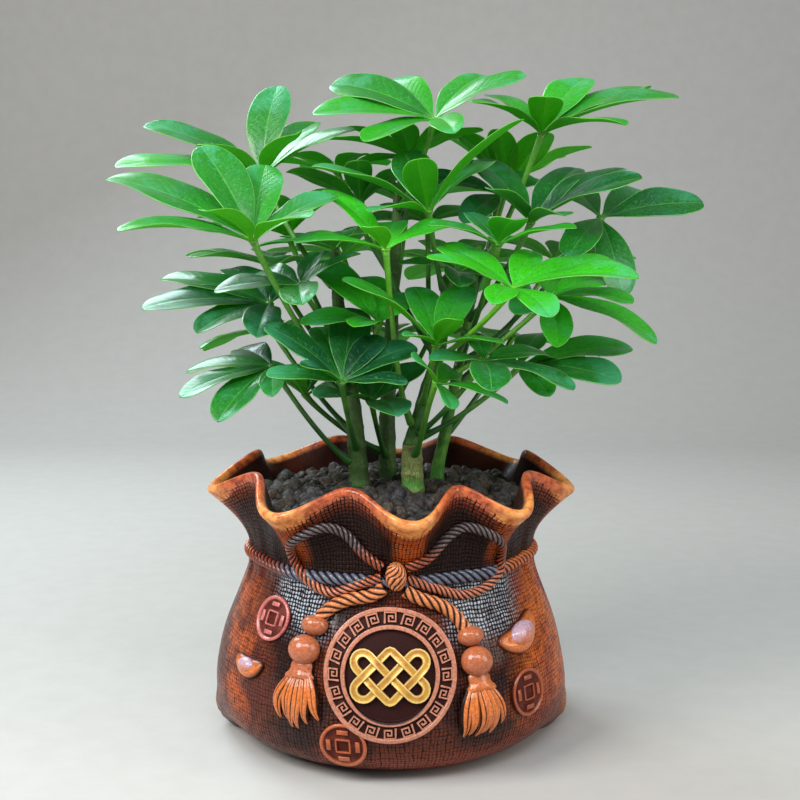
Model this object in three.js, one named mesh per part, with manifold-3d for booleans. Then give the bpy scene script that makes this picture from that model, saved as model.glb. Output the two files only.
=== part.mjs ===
// A dwarf schefflera with four stems in a glazed ceramic pot shaped like a tied money bag.
// Millimetres, +Z up, the pot's axis on Z and its base on z = 0. The front faces -Y.
// Angles round the pot are degrees from the front, positive towards +X.
// Bearings of leaflets are degrees from +X, turning towards +Y.
import * as THREE from 'three';
import { mergeVertices } from 'three/addons/utils/BufferGeometryUtils.js';
import Module from 'manifold-3d';

// Driving dimensions of the pot
const BODY_OUTLINE = [
  [0, 61], [2, 65.5], [7, 74.5], [14, 80.5], [27, 83.5], [40, 82], [52, 79], [65, 74], [80, 67.5], [88, 66.5],
];
const WALL = 5;
const FLOOR = 9;
const FOLD_CRESTS = [-84, -36, 7, 42, 84, 130, 178, 228];
const FOLD_SHARES = [0, 0.14, 0.36, 0.5, 0.64, 0.86];
const FLARE_Z = 92;
const FLARE_POWER = 1.6;
const RIM_R = 79;
const RIM_FOLD = 7;
const RIM_Z = 121;
const RIM_DIP = 6;
const LIP = 4.6;
const GATHER = 1;
const GATHER_FROM_Z = 62;
const BAND_Z = 88;
const BAND_HALF = 3.2;
const BAND_BULGE = 2.6;
const EAR_ANGLES = [-88, 88];
const EAR_WIDTH = 13;
const EAR_OUTLINE = [[0, 17], [5, 11], [12, 5.5], [20, 1.5], [30, 0]];
const EAR_TOP_Z = 30;

// Driving dimensions of the filling and the plant
const SOIL_EDGE_Z = 111;
const SOIL_CROWN_Z = 116.5;
const SOIL_LUMP = 1.2;
const GAP = 0.35;
const STEM_FOOT_Z = 85;
const STEM_SIDES = 8;
const BLADE = 0.75;
const LEAFLET_ASPECT = 0.4;
const FOLD_ANGLE = 13;
const DROOP_ANGLE = 26;
const PETIOLE_R = 1.15;
const PETIOLE_BEND = 0.08;
const PETIOLE_LEAD = 0.2;
const PETIOLE_ROWS = [[0.08, 1.4], [0.4, PETIOLE_R], [0.75, PETIOLE_R], [1, 1.5]];
const HUB_R = 2.2;
const HUB_HALF = 0.6;
const HUB_SPREAD = 32;
const FAN_TAPER = 0.12;
const BUD_SHARE = 0.5;

const rad = THREE.MathUtils.degToRad;
const wasm = await Module();
wasm.setup();

// Solids and booleans

function geometryFrom(points, triangles) {
  const geometry = new THREE.BufferGeometry();
  geometry.setAttribute('position', new THREE.Float32BufferAttribute(points.flatMap((p) => p.toArray()), 3));
  geometry.setIndex(triangles.flat());
  return geometry;
}

// A closed skin over a stack of rings with equal counts, capped at both ends or joined end to start
function skin(rings, joined = false) {
  const count = rings[0].length;
  const points = rings.flat();
  const triangles = [];
  const bands = joined ? rings.length : rings.length - 1;
  for (let k = 0; k < bands; k += 1) {
    const low = k * count;
    const high = ((k + 1) % rings.length) * count;
    for (let i = 0; i < count; i += 1) {
      const j = (i + 1) % count;
      triangles.push([low + i, low + j, high + j], [low + i, high + j, high + i]);
    }
  }
  if (!joined) {
    for (const [ring, first] of [[0, 0], [rings.length - 1, (rings.length - 1) * count]]) {
      const middle = points.length;
      points.push(centreOf(rings[ring]));
      for (let i = 0; i < count; i += 1) {
        const j = (i + 1) % count;
        triangles.push(ring === 0 ? [middle, first + j, first + i] : [middle, first + i, first + j]);
      }
    }
  }
  return geometryFrom(points, triangles);
}

function centreOf(ring) {
  return ring.reduce((sum, p) => sum.add(p), new THREE.Vector3()).divideScalar(ring.length);
}

function toManifold(geometry) {
  const bare = geometry.clone();
  bare.deleteAttribute('normal');
  bare.deleteAttribute('uv');
  const welded = mergeVertices(bare, 1e-4);
  const corners = welded.index.array;
  const kept = [];
  for (let i = 0; i < corners.length; i += 3) {
    const [a, b, c] = corners.slice(i, i + 3);
    if (a !== b && b !== c && c !== a) kept.push(a, b, c);
  }
  const mesh = new wasm.Mesh({
    numProp: 3,
    vertProperties: Float32Array.from(welded.attributes.position.array),
    triVerts: Uint32Array.from(kept),
  });
  const solid = new wasm.Manifold(mesh);
  return solid.volume() > 0 ? solid : inverted(mesh);
}

function inverted(mesh) {
  const turned = mesh.triVerts.slice();
  for (let i = 0; i < turned.length; i += 3) [turned[i], turned[i + 1]] = [turned[i + 1], turned[i]];
  const { vertProperties } = mesh;
  return new wasm.Manifold(new wasm.Mesh({ numProp: 3, vertProperties, triVerts: turned }));
}

function toGeometry(solid) {
  const { vertProperties, triVerts } = solid.getMesh();
  const geometry = new THREE.BufferGeometry();
  geometry.setAttribute('position', new THREE.BufferAttribute(Float32Array.from(vertProperties), 3));
  geometry.setIndex(new THREE.BufferAttribute(Uint32Array.from(triVerts), 1));
  return geometry;
}

// Joined in one body, with any pocket closed in between two pieces filled
function fuse(geometries) {
  const whole = geometries.map(toManifold).reduce((left, piece) => left.add(piece));
  return whole.decompose().reduce((largest, body) => (body.volume() > largest.volume() ? body : largest));
}

// Shape of the pot's wall

function heightCurve(table, z) {
  const last = table.length - 1;
  let k = 0;
  while (k < last - 1 && table[k + 1][0] < z) k += 1;
  const slope = (i) => {
    const a = table[Math.max(i - 1, 0)];
    const b = table[Math.min(i + 1, last)];
    return (b[1] - a[1]) / (b[0] - a[0]);
  };
  const [z0, r0] = table[k];
  const [z1, r1] = table[k + 1];
  const t = (z - z0) / (z1 - z0);
  const span = z1 - z0;
  return r0 * (1 + 2 * t) * (1 - t) ** 2 + r1 * t * t * (3 - 2 * t)
    + span * slope(k) * t * (1 - t) ** 2 - span * slope(k + 1) * t * t * (1 - t);
}

// 1 on the crest of a fold that leans out, -1 in the fold that stands in
function foldWave(angle) {
  const turned = ((((angle - FOLD_CRESTS[0]) % 360) + 360) % 360) + FOLD_CRESTS[0];
  const crests = [...FOLD_CRESTS, FOLD_CRESTS[0] + 360];
  const k = Math.max(crests.findIndex((crest) => crest > turned) - 1, 0);
  return Math.cos((2 * Math.PI * (turned - crests[k])) / (crests[k + 1] - crests[k]));
}

function rimHeight(angle) {
  return RIM_Z - RIM_DIP * foldWave(angle);
}

function bump(value, centre, width) {
  return Math.exp(-(((value - centre) / width) ** 2));
}

// Corners of the sack, which stand out beside the base
function earSwell(angle, z) {
  const out = z < EAR_TOP_Z ? heightCurve(EAR_OUTLINE, z) : 0;
  return EAR_ANGLES.reduce((sum, ear) => sum + out * bump(angle, ear, EAR_WIDTH), 0);
}

// Radius of the pot's outer face
function wallRadius(angle, z) {
  const wave = foldWave(angle);
  const gather = GATHER * wave * THREE.MathUtils.smoothstep(z, GATHER_FROM_Z, BAND_Z);
  const neck = heightCurve(BODY_OUTLINE, Math.min(z, BAND_Z)) + gather;
  const signed = ((angle + 180) % 360 + 360) % 360 - 180;
  if (z <= FLARE_Z) return neck + earSwell(signed, z);
  const rise = (z - FLARE_Z) / (rimHeight(angle) - FLARE_Z);
  return neck + (RIM_R + RIM_FOLD * wave - neck) * rise ** FLARE_POWER;
}

function around(angle, radius, z) {
  return new THREE.Vector3(radius * Math.sin(rad(angle)), -radius * Math.cos(rad(angle)), z);
}

// Outward direction of the wall as [radial, upward]
function wallSlope(angle, z) {
  const step = 0.5;
  const rise = (wallRadius(angle, z + step / 2) - wallRadius(angle, z - step / 2)) / step;
  const length = Math.hypot(1, rise);
  return [1 / length, -rise / length];
}

// Point at a lift above the wall's outer face, along the wall's own normal
function onWall(angle, z, lift = 0) {
  const [out, up] = wallSlope(angle, z);
  return around(angle, wallRadius(angle, z) + lift * out, z + lift * up);
}

function wallNormal(angle, z) {
  return onWall(angle, z, 1).sub(onWall(angle, z)).normalize();
}

// Angles that fall on every crest and every hollow of the rim
function ringAngles() {
  const ends = [...FOLD_CRESTS.slice(1), FOLD_CRESTS[0] + 360];
  return FOLD_CRESTS.flatMap((crest, k) => FOLD_SHARES.map((share) => crest + (ends[k] - crest) * share));
}

const ANGLES = ringAngles();

function flareZ(angle, share) {
  return FLARE_Z + share * (rimHeight(angle) - FLARE_Z);
}

// Inner face of the wall, optionally clear of it by a gap
function innerPoint(angle, z, gap = 0) {
  if (z < BAND_Z) return around(angle, heightCurve(BODY_OUTLINE, z) - WALL - gap, z);
  const thick = THREE.MathUtils.lerp(WALL, LIP, THREE.MathUtils.smoothstep(z, BAND_Z, FLARE_Z + 10));
  return onWall(angle, z, -(thick + gap));
}

function lipPoint(angle, turn) {
  const z = rimHeight(angle);
  const [out, up] = wallSlope(angle, z - 0.3);
  const half = LIP / 2;
  const across = half * (Math.cos(rad(turn)) - 1);
  const along = half * Math.sin(rad(turn));
  return around(angle, wallRadius(angle, z) + across * out - along * up, z + across * up + along * out);
}

function ropeBand(angle, z) {
  const reach = Math.max(0, 1 - ((z - BAND_Z) / BAND_HALF) ** 2);
  return onWall(angle, z, BAND_BULGE * Math.sqrt(reach));
}

// Rows of the outer face, the rope band, the flared neck, its lip and the inner face
const BODY_HEIGHTS = [0, 3, 9, 17, 30, 46, 62, 77];
const BAND_SHARES = [-1, -0.5, 0.5, 1];
const FLARE_SHARES = [0.3, 0.6, 0.82, 1];
const LIP_TURNS = [60, 120];
const MOUTH_SHARES = [0.93, 0.6];

// Rows of the inner face that the soil follows, from the top down
const LOW_SHARE = 0.25;
const WELL_HEIGHTS = [BAND_Z, 40];

function potBody() {
  const ring = (place) => ANGLES.map(place);
  const outer = BODY_HEIGHTS.map((z) => ring((a) => around(a, wallRadius(a, z), z)));
  const band = BAND_SHARES.map((s) => ring((a) => ropeBand(a, BAND_Z + s * BAND_HALF)));
  const flare = FLARE_SHARES.map((s) => ring((a) => onWall(a, flareZ(a, s))));
  const lip = LIP_TURNS.map((turn) => ring((a) => lipPoint(a, turn)));
  const inside = [...MOUTH_SHARES, LOW_SHARE].map((s) => ring((a) => innerPoint(a, flareZ(a, s))));
  const well = [...WELL_HEIGHTS, FLOOR].map((z) => ring((a) => innerPoint(a, z)));
  return skin([...outer, ...band, ...flare, ...lip, ...inside, ...well]);
}

// Relief on the pot, fired in one piece with it

// Place on the wall at x mm to the right and y mm up from a centre given as angle and height
function besideOnWall([angle, z], x, y, lift) {
  const up = z + y * wallSlope(angle, z)[0];
  return onWall(angle + THREE.MathUtils.radToDeg(x / wallRadius(angle, up)), up, lift);
}

function smoothPath(points, steps) {
  const curve = new THREE.CatmullRomCurve3(points.map((p) => new THREE.Vector3(...p)), false, 'centripetal');
  return curve.getPoints(steps);
}

// A round cord lying on the wall along [angle, height] places
function cordOnWall(places, { radius, lift, steps }) {
  const sides = 5;
  const route = smoothPath(places.map(([a, z]) => [a, z, lift]), steps);
  const centres = route.map((p) => onWall(p.x, p.y, p.z));
  const rings = centres.map((centre, k) => {
    const ahead = centres[Math.min(k + 1, steps)];
    const along = ahead.clone().sub(centres[Math.max(k - 1, 0)]).normalize();
    const side = along.clone().cross(wallNormal(route[k].x, route[k].y)).normalize();
    const out = side.clone().cross(along);
    return Array.from({ length: sides }, (_, i) => {
      const turn = (2 * Math.PI * i) / sides;
      const rise = centre.clone().addScaledVector(out, radius * Math.cos(turn));
      return rise.addScaledVector(side, radius * Math.sin(turn));
    });
  });
  return skin(rings);
}

function beadOnWall(place, width, height, lift) {
  const ball = new THREE.IcosahedronGeometry(1, 1);
  const spot = ball.attributes.position;
  for (let i = 0; i < spot.count; i += 1) {
    const [x, y, out] = [spot.getX(i) * width, spot.getY(i) * height, spot.getZ(i) * width];
    const p = besideOnWall(place, x / 2, y / 2, lift + out / 2);
    spot.setXYZ(i, p.x, p.y, p.z);
  }
  return ball;
}

// Rings of [half width, half depth, height, flute] stacked down the wall, the flutes as threads
function skirtOnWall(place, rows) {
  const sides = 8;
  const rings = rows.map(([half, depth, y, flute]) => Array.from({ length: sides }, (_, i) => {
    const turn = (2 * Math.PI * i) / sides;
    const swell = 1 + (i % 2 === 0 ? flute : -flute);
    return besideOnWall(place, half * swell * Math.cos(turn), y, SKIRT_LIFT + depth * swell * Math.sin(turn));
  }));
  return skin(rings);
}

// A turned outline of [radius, lift] rows bent over the wall, with an optional square middle
function discOnWall(place, rows, sides) {
  const rings = rows.map(([radius, lift, square]) => Array.from({ length: sides }, (_, i) => {
    const turn = (2 * Math.PI * (i + 0.5)) / sides;
    const reach = square ? radius / Math.max(Math.abs(Math.cos(turn)), Math.abs(Math.sin(turn))) : radius;
    return besideOnWall(place, reach * Math.cos(turn), reach * Math.sin(turn), lift);
  }));
  return skin(rings);
}

// A raised strip of square section along a flat route, bent over the wall
function stripOnWall(place, route, width, lift) {
  const rings = route.map(([x, y], k) => {
    const [ax, ay] = route[Math.max(k - 1, 0)];
    const [bx, by] = route[Math.min(k + 1, route.length - 1)];
    const length = Math.hypot(bx - ax, by - ay);
    const [sx, sy] = [(-(by - ay) / length) * (width / 2), ((bx - ax) / length) * (width / 2)];
    return [[1, BURIED], [1, lift], [-1, lift], [-1, BURIED]].map(([side, height]) => (
      besideOnWall(place, x + side * sx, y + side * sy, height)));
  });
  return skin(rings);
}

const SKIRT_LIFT = 0.6;
const BURIED = -1.2;

const MEDALLION = [0, 50];
const MEDALLION_R = 28.5;
const FIELD_R = 20.5;
const KEY_COUNT = 20;
const KEY_SIZE = 4.8;
const KEY_LIFTS = [0.1, 2];

// Outer hoop, low border, inner hoop and field, as [radius, lift]
const MEDALLION_ROWS = [
  [MEDALLION_R, -1], [MEDALLION_R, 2.2], [MEDALLION_R - 1.8, 2.2], [MEDALLION_R - 1.8, 0.6],
  [FIELD_R + 0.6, 0.6], [FIELD_R + 0.3, 2.2], [FIELD_R - 1.1, 2.2], [FIELD_R - 1.1, 0.5],
];

// One raised block of the meander border
function meanderKey(index) {
  const turn = rad((360 / KEY_COUNT) * index);
  const middle = (MEDALLION_R + FIELD_R) / 2 - 0.5;
  const half = KEY_SIZE / 2;
  const outline = [[-half, -half], [half, -half], [half, half], [-half, half]];
  const rings = KEY_LIFTS.map((lift) => outline.map(([x, y]) => {
    const reach = middle + y;
    const angle = turn - x / middle;
    return besideOnWall(MEDALLION, reach * Math.cos(angle), reach * Math.sin(angle), lift);
  }));
  return skin(rings);
}

const KNOT_PITCH = 8;
const KNOT_REACH = 12;
const KNOT_LINE = 3.4;
const KNOT_CORNER = KNOT_PITCH + KNOT_LINE / 2;
const KNOT_LIFT = 2.8;
const LOOP_OVERLAP = 0.2;

function turned45(points) {
  return points.map(([x, y]) => [(x - y) * Math.SQRT1_2, (x + y) * Math.SQRT1_2]);
}

// An endless knot, one closed line: three lanes each way, turned back in loops and at two corners
function endlessKnot() {
  const bars = [-1, 0, 1].flatMap((lane) => {
    const from = lane < 0 ? -KNOT_CORNER : -KNOT_REACH;
    const to = lane > 0 ? KNOT_CORNER : KNOT_REACH;
    const across = [from, (from + to) / 2, to].map((s) => [s, lane * KNOT_PITCH]);
    return [across, across.map(([x, y]) => [y, x])];
  });
  const loop = (flip, side) => Array.from({ length: 4 }, (_, i) => {
    const turn = rad(-90 + 60 * i);
    const x = side * (KNOT_REACH - LOOP_OVERLAP + (KNOT_PITCH / 2) * Math.cos(turn));
    const y = (-side * KNOT_PITCH) / 2 + (KNOT_PITCH / 2) * Math.sin(turn);
    return flip ? [y, x] : [x, y];
  });
  const loops = [false, true].flatMap((flip) => [loop(flip, 1), loop(flip, -1)]);
  return [...bars, ...loops].map((route) => stripOnWall(MEDALLION, turned45(route), KNOT_LINE, KNOT_LIFT));
}

// Coins as [angle, height, radius], each with a raised rim and a square hole
const COINS = [[-45, 67, 10.3], [-14, 20, 10.5], [47, 35, 10.6]];
const COIN_SIDES = 9;

function coin([angle, z, r]) {
  const rows = [[r, -1], [r, 2], [r - 1.6, 2], [r - 1.7, 1.1], [2.6, 1.1, true], [2.5, 0.2, true]];
  return discOnWall([angle, z], rows, COIN_SIDES);
}

// Ingots as [angle, height, half length, tilt], and for each length the rise of the horns,
// the half depth in the middle, what it loses at the horns, and the share of an edge's height
const INGOTS = [[-51, 44, 10, 0], [49, 58, 14.5, 18]];
const HORN_RISE = 0.32;
const INGOT_DEPTH = 0.48;
const HORN_TAPER = 0.26;
const INGOT_EDGE = 0.6;
const INGOT_STATIONS = [-1, -0.55, 0, 0.55, 1];

// A boat-shaped ingot: two raised horns and a domed middle
function ingot([angle, z, half, tilt]) {
  const rows = INGOT_STATIONS.map((s) => {
    const rise = HORN_RISE * half * s * s;
    const deep = half * (INGOT_DEPTH - HORN_TAPER * s * s);
    const thick = 3 - 1.6 * s * s;
    const edge = thick * INGOT_EDGE;
    return [[-deep, -1], [-deep, edge], [0, thick + 0.8], [deep, edge], [deep, -1]].map(([y, lift]) => {
      const [x, up] = [s * half, y + rise];
      const [c, n] = [Math.cos(rad(tilt)), Math.sin(rad(tilt))];
      return besideOnWall([angle, z], x * c - up * n, x * n + up * c, lift);
    });
  });
  return skin(rows);
}

// The bow: [angle, height] of the knot, and of the places its loops and tails pass
const KNOT = [2, 92];
const LEFT_LOOP = [
  [-3, 95], [-10, 101], [-17, 110], [-23, 112.5], [-30, 109], [-37, 101], [-37, 93], [-31, 86],
  [-22, 82], [-13, 86], [-3, 90.5],
];
const RIGHT_LOOP = [
  [6, 95.5], [13, 99], [21, 107.5], [28, 111.5], [36, 108], [44, 98], [45, 89], [38, 82.5],
  [28, 80], [17, 84.5], [6, 90],
];
const LEFT_TAIL = [[-2, 86], [-7, 82], [-15, 79.5], [-21, 76], [-25, 71]];
const RIGHT_TAIL = [[5, 85], [11, 80.5], [18, 77], [23, 72], [26, 66]];
const LOOP_CORD = { radius: 2.1, lift: 1.3, steps: 16 };
const TAIL_CORD = { radius: 2.8, lift: 1.8, steps: 5 };
const TASSELS = [[-26, 68, -2], [27, 63.5, 0.5]];
const TASSEL_STEP = 10;
const COLLAR_ROWS = [[4, 2.6, -5, 0], [6.4, 3.4, -11, 0.06], [5, 2.8, -13.5, 0.04]];
const THREAD_ROWS = [
  [5, 2.8, -13, 0.04], [9, 3.6, -19, 0.1], [11.8, 4, -26, 0.12], [12.6, 3, -31, 0.12], [11.4, 1, -34, 0.1],
];

// A small bead, a big bead, a collar and a skirt of threads, hanging from [angle, height, lean]
function tassel([angle, top, lean]) {
  const below = [angle + lean, top - TASSEL_STEP];
  return [
    beadOnWall([angle, top], 11.5, 8.6, 1.6),
    beadOnWall(below, 13.6, 12.6, 2.2),
    skirtOnWall(below, COLLAR_ROWS),
    skirtOnWall(below, THREAD_ROWS),
  ];
}

function pot() {
  const relief = [
    beadOnWall(KNOT, 8.4, 13.5, 3.4),
    ...[LEFT_LOOP, RIGHT_LOOP].map((places) => cordOnWall(places, LOOP_CORD)),
    ...[LEFT_TAIL, RIGHT_TAIL].map((places) => cordOnWall(places, TAIL_CORD)),
    ...TASSELS.flatMap(tassel),
    discOnWall(MEDALLION, MEDALLION_ROWS, 24),
    ...Array.from({ length: KEY_COUNT }, (_, i) => meanderKey(i)),
    ...endlessKnot(),
    ...COINS.map(coin),
    ...INGOTS.map(ingot),
  ];
  return toGeometry(fuse([potBody(), ...relief]));
}

// Soil

const SOIL_SHARES = [0.24, 0.52, 0.78];
const SOIL_SLACK = 3 * GAP;

function soilEdgeHeight(angle) {
  let [low, high] = [FLARE_Z, rimHeight(angle)];
  for (let i = 0; i < 24; i += 1) {
    const middle = (low + high) / 2;
    if (innerPoint(angle, middle, GAP).z > SOIL_EDGE_Z) high = middle;
    else low = middle;
  }
  return (low + high) / 2;
}

function soil() {
  const ring = (place) => ANGLES.map(place);
  const bottom = ring((a) => innerPoint(a, FLOOR, GAP).setZ(FLOOR + GAP));
  const sides = WELL_HEIGHTS.map((z) => ring((a) => innerPoint(a, z, GAP)));
  const low = ring((a) => innerPoint(a, flareZ(a, LOW_SHARE), GAP));
  const edge = ANGLES.map(soilEdgeHeight);
  const upper = [1, 0.5].map((s) => ANGLES.map((a, i) => {
    const from = flareZ(a, LOW_SHARE);
    return innerPoint(a, from + s * (edge[i] - from), SOIL_SLACK);
  }));
  const rim = upper[0];
  const top = SOIL_SHARES.map((share, k) => rim.map((p, i) => {
    const lump = SOIL_LUMP * Math.sin(i * 2.4 + k * 1.9) * Math.cos(i * 1.1 - k * 2.3);
    const z = SOIL_EDGE_Z + (SOIL_CROWN_Z - SOIL_EDGE_Z) * (1 - share * share) + lump;
    return new THREE.Vector3(p.x * share, p.y * share, z);
  }));
  const filling = toManifold(skin([...top, ...upper, low, ...sides, bottom]));
  const holes = STEMS.map((stem) => toManifold(stemHole(stem)));
  return toGeometry(holes.reduce((left, hole) => left.subtract(hole), filling));
}

// Stems: the places each one passes and its radius there. The front one is cut back to a stub,
// and a thinner shoot goes on from it.

const STEMS = [
  { name: 'stem_front',
    route: [[10, -15, 85, 5.1], [10, -15, 122, 5.1], [9.5, -15, 139, 4.8], [10.5, -15, 143, 3.6],
      [17, -15, 166, 3.3], [23, -13, 185, 3], [26, -8, 216, 2.5]] },
  { name: 'stem_left',
    route: [[-15, -8, 85, 4.6], [-15, -8, 122, 4.6], [-17, -9, 150, 4], [-20, -10, 175, 3.4],
      [-24, -8, 200, 2.9], [-26, -4, 226, 2.4]] },
  { name: 'stem_back',
    route: [[-2, 15, 85, 4.4], [-2, 15, 122, 4.4], [-2, 16, 150, 3.8], [0, 18, 190, 3.2],
      [2, 20, 225, 2.6], [3, 21, 254, 2.2]] },
  { name: 'stem_right',
    route: [[22, 8, 85, 3.1], [22, 8, 122, 3.1], [28, 12, 150, 2.8], [36, 14, 190, 2.4], [42, 16, 228, 1.9]] },
];

// Centre, direction and radius of a stem at a height
function stemAt({ route }, z) {
  let k = 0;
  while (k < route.length - 2 && route[k + 1][2] < z) k += 1;
  const [low, high] = [route[k], route[k + 1]];
  const share = (z - low[2]) / (high[2] - low[2]);
  const [from, to] = [low, high].map(([x, y, up]) => new THREE.Vector3(x, y, up));
  return {
    centre: from.clone().lerp(to, share),
    along: to.sub(from).normalize(),
    r: low[3] + (high[3] - low[3]) * share,
  };
}

function flatRing(centre, radius, sides = STEM_SIDES) {
  return Array.from({ length: sides }, (_, i) => {
    const turn = (2 * Math.PI * i) / sides;
    return centre.clone().add(new THREE.Vector3(radius * Math.cos(turn), radius * Math.sin(turn), 0));
  });
}

function stemSolid(stem) {
  const rings = stem.route.map((p) => {
    const { centre, r } = stemAt(stem, p[2]);
    return flatRing(centre, r);
  });
  const end = stemAt(stem, stem.route.at(-1)[2]);
  const bud = end.centre.clone().addScaledVector(end.along, end.r);
  return skin([...rings, flatRing(bud, end.r * BUD_SHARE)]);
}

function stemHole({ route: [[x, y, , r]] }) {
  const foot = new THREE.Vector3(x, y, STEM_FOOT_Z - GAP);
  const open = new THREE.Vector3(x, y, SOIL_CROWN_Z + 8);
  return skin([flatRing(foot, r + GAP), flatRing(open, r + GAP)]);
}

// Leaves: each is a petiole, a hub and a fan of leaflets.
// The stem and the height of the petiole on it, the hub, and the leaflets as [bearing, rise, length].

// Leaflets evenly round the hub, the longest and lowest ones towards the outside of the crown
function evenFan(count, outward, length, cup, tilt) {
  return Array.from({ length: count }, (_, i) => {
    const turn = (360 / count) * i;
    const facing = Math.cos(rad(turn));
    return [outward + turn, cup - tilt * facing, length * (1 - FAN_TAPER * (1 - facing))];
  });
}

const LEAVES = [
  ['stem_left', 213, [-61, 12, 262],
    [[177, 26, 60], [195, 4, 68], [80, 62, 50], [50, 38, 46], [348, 27, 50], [238, 18, 44], [302, 28, 42]]],
  ['stem_left', 166, [-58, -56, 234],
    [[172, 24, 68], [210, 6, 60], [136, 50, 53], [86, 44, 48], [30, 27, 44], [250, 18, 43], [308, 16, 41]]],
  ['stem_back', 248, [20, 1, 288],
    [[186, 2, 56], [157, 20, 56], [216, -15, 42], [119, 27, 46], [50, 32, 44], [347, 26, 46],
      [285, -10, 36]]],
  ['stem_right', 222, [70, 6, 282],
    [[220, 17, 46], [55, 36, 50], [18, 22, 60], [342, 15, 64], [312, 4, 50], [268, 22, 38], [130, 30, 42]]],
  ['stem_front', 211, [17, -20, 246],
    [[258, 36, 38], [335, 42, 60], [184, 22, 56], [40, 32, 45], [225, 2, 36], [110, 38, 45]]],
  ['stem_right', 196, [64, -10, 241],
    [[128, 38, 48], [52, 34, 46], [20, 28, 54], [342, 22, 54], [285, 6, 38], [235, 22, 40]]],
  ['stem_right', 176, [99, 12, 243],
    [[5, 8, 50], [238, -25, 40], [285, -52, 44], [110, 22, 44], [50, 16, 46]]],
  ['stem_front', 180, [52, -59, 214],
    [[203, 19, 42], [140, 25, 42], [69, 29, 32], [18, 12, 50], [338, 8, 54], [293, -14, 36], [250, -6, 32]]],
  ['stem_front', 149, [-2, -44, 230],
    [[257, 21, 28], [28, 16, 40], [142, 37, 43], [186, 6, 40], [83, 22, 34]]],
  ['stem_left', 163, [-56, -10, 204],
    [[165, 12, 56], [196, 0, 58], [228, -12, 44], [268, -15, 40], [120, 20, 45], [70, 16, 38]]],
  ['stem_left', 131, [-54, -20, 176],
    [[165, -4, 42], [205, -14, 45], [236, -26, 44], [120, 8, 38], [275, -20, 28]]],
  ['stem_left', 138, [-21, -52, 173],
    [[178, 38, 41], [109, 36, 38], [84, 42, 45], [46, 37, 31], [25, 24, 38], [348, 1, 29], [200, 9, 34],
      [228, 23, 26]]],
  ['stem_left', 168, [-5, -33, 197],
    [[140, 34, 48], [250, 2, 30], [60, 18, 34], [100, 30, 40], [195, 4, 36]]],
  ['stem_front', 160, [20, -42, 188],
    [[200, 36, 52], [238, 14, 26], [290, 30, 28], [332, 6, 32], [104, 38, 40], [60, 40, 38]]],
  ['stem_front', 136, [20, -46, 172],
    [[335, -12, 34], [285, -20, 24], [240, 33, 26], [70, 8, 26]]],
  ['stem_front', 169, [72, -22, 208],
    [[322, 0, 42], [350, -20, 52], [272, -32, 36], [235, -8, 34], [40, 10, 42], [90, 18, 34]]],
  ['stem_front', 144, [59, -18, 176],
    [[8, 8, 54], [332, -4, 48], [290, -18, 32], [70, 20, 38], [130, 14, 30]]],
  ['stem_right', 214, [52, 22, 254],
    [[238, -20, 38], [110, 28, 38], [170, 12, 40], [60, 14, 40]]],
];

// Even fans at the back and in the middle of the crown, with plainer blades:
// the stem, the height on it, the hub, and what evenFan takes
const FANS = [
  ['stem_back', 237, [9, 30, 271], 7, 108, 45, 20, 8],
  ['stem_left', 171, [-58, 33, 219], 6, 157, 49, 8, 1],
  ['stem_left', 181, [-53, 61, 234], 7, 157, 52, 21, 16],
  ['stem_back', 217, [-27, 52, 265], 6, 112, 44, 10, 6],
  ['stem_back', 196, [8, 76, 249], 7, 72, 50, 14, 7],
  ['stem_right', 204, [58, 63, 257], 7, 49, 50, 36, 14],
  ['stem_right', 165, [82, 54, 222], 6, 30, 46, 8, 12],
  ['stem_back', 178, [-26, 84, 223], 6, 112, 46, 9, 17],
  ['stem_back', 152, [36, 88, 216], 7, 76, 46, 5, 24],
  ['stem_left', 144, [-60, 50, 186], 6, 153, 43, -1, 14],
  ['stem_back', 141, [2, 62, 184], 6, 90, 46, -2, 12],
  ['stem_right', 142, [61, 47, 183], 6, 38, 49, -4, 11],
  ['stem_left', 199, [-26, 2, 229], 6, 200, 38, 12, 8],
  ['stem_front', 198, [32, 0, 218], 6, 326, 38, 2, 14],
];

// Younger leaves in the gaps of the crown's middle, given in the same way as the first ones
const INNER_LEAVES = [
  ['stem_back', 130, [-9, -9, 158],
    [[32, 28, 34], [79, 44, 32], [128, 31, 35], [239, 10, 46], [287, 2, 45]]],
  ['stem_back', 131, [-41, 8, 159],
    [[135, 22, 40], [189, 26, 43], [248, 31, 30], [12, 18, 30], [77, 28, 34]]],
  ['stem_front', 179, [18, 47, 241],
    [[258, 26, 27], [317, 15, 28], [11, 5, 33], [163, 0, 34], [213, 17, 29]]],
  ['stem_right', 174, [47, -40, 232],
    [[274, 18, 38], [343, 13, 35], [57, 29, 21], [123, 32, 27], [197, 17, 33]]],
  ['stem_front', 182, [-15, 28, 250],
    [[89, 8, 33], [205, 23, 40], [269, 38, 33], [326, 30, 32], [28, 26, 37]]],
  ['stem_left', 187, [-40, -34, 214],
    [[17, 27, 31], [72, 28, 30], [128, 9, 34], [174, -4, 39], [274, -7, 41]]],
  ['stem_front', 146, [41, -42, 181],
    [[325, -12, 45], [36, 2, 40], [97, 20, 33], [205, 5, 27], [272, -10, 43]]],
];

const UP = new THREE.Vector3(0, 0, 1);

function direction(bearing, rise) {
  const [b, r] = [rad(bearing), rad(rise)];
  return new THREE.Vector3(Math.cos(b) * Math.cos(r), Math.sin(b) * Math.cos(r), Math.sin(r));
}

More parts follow.
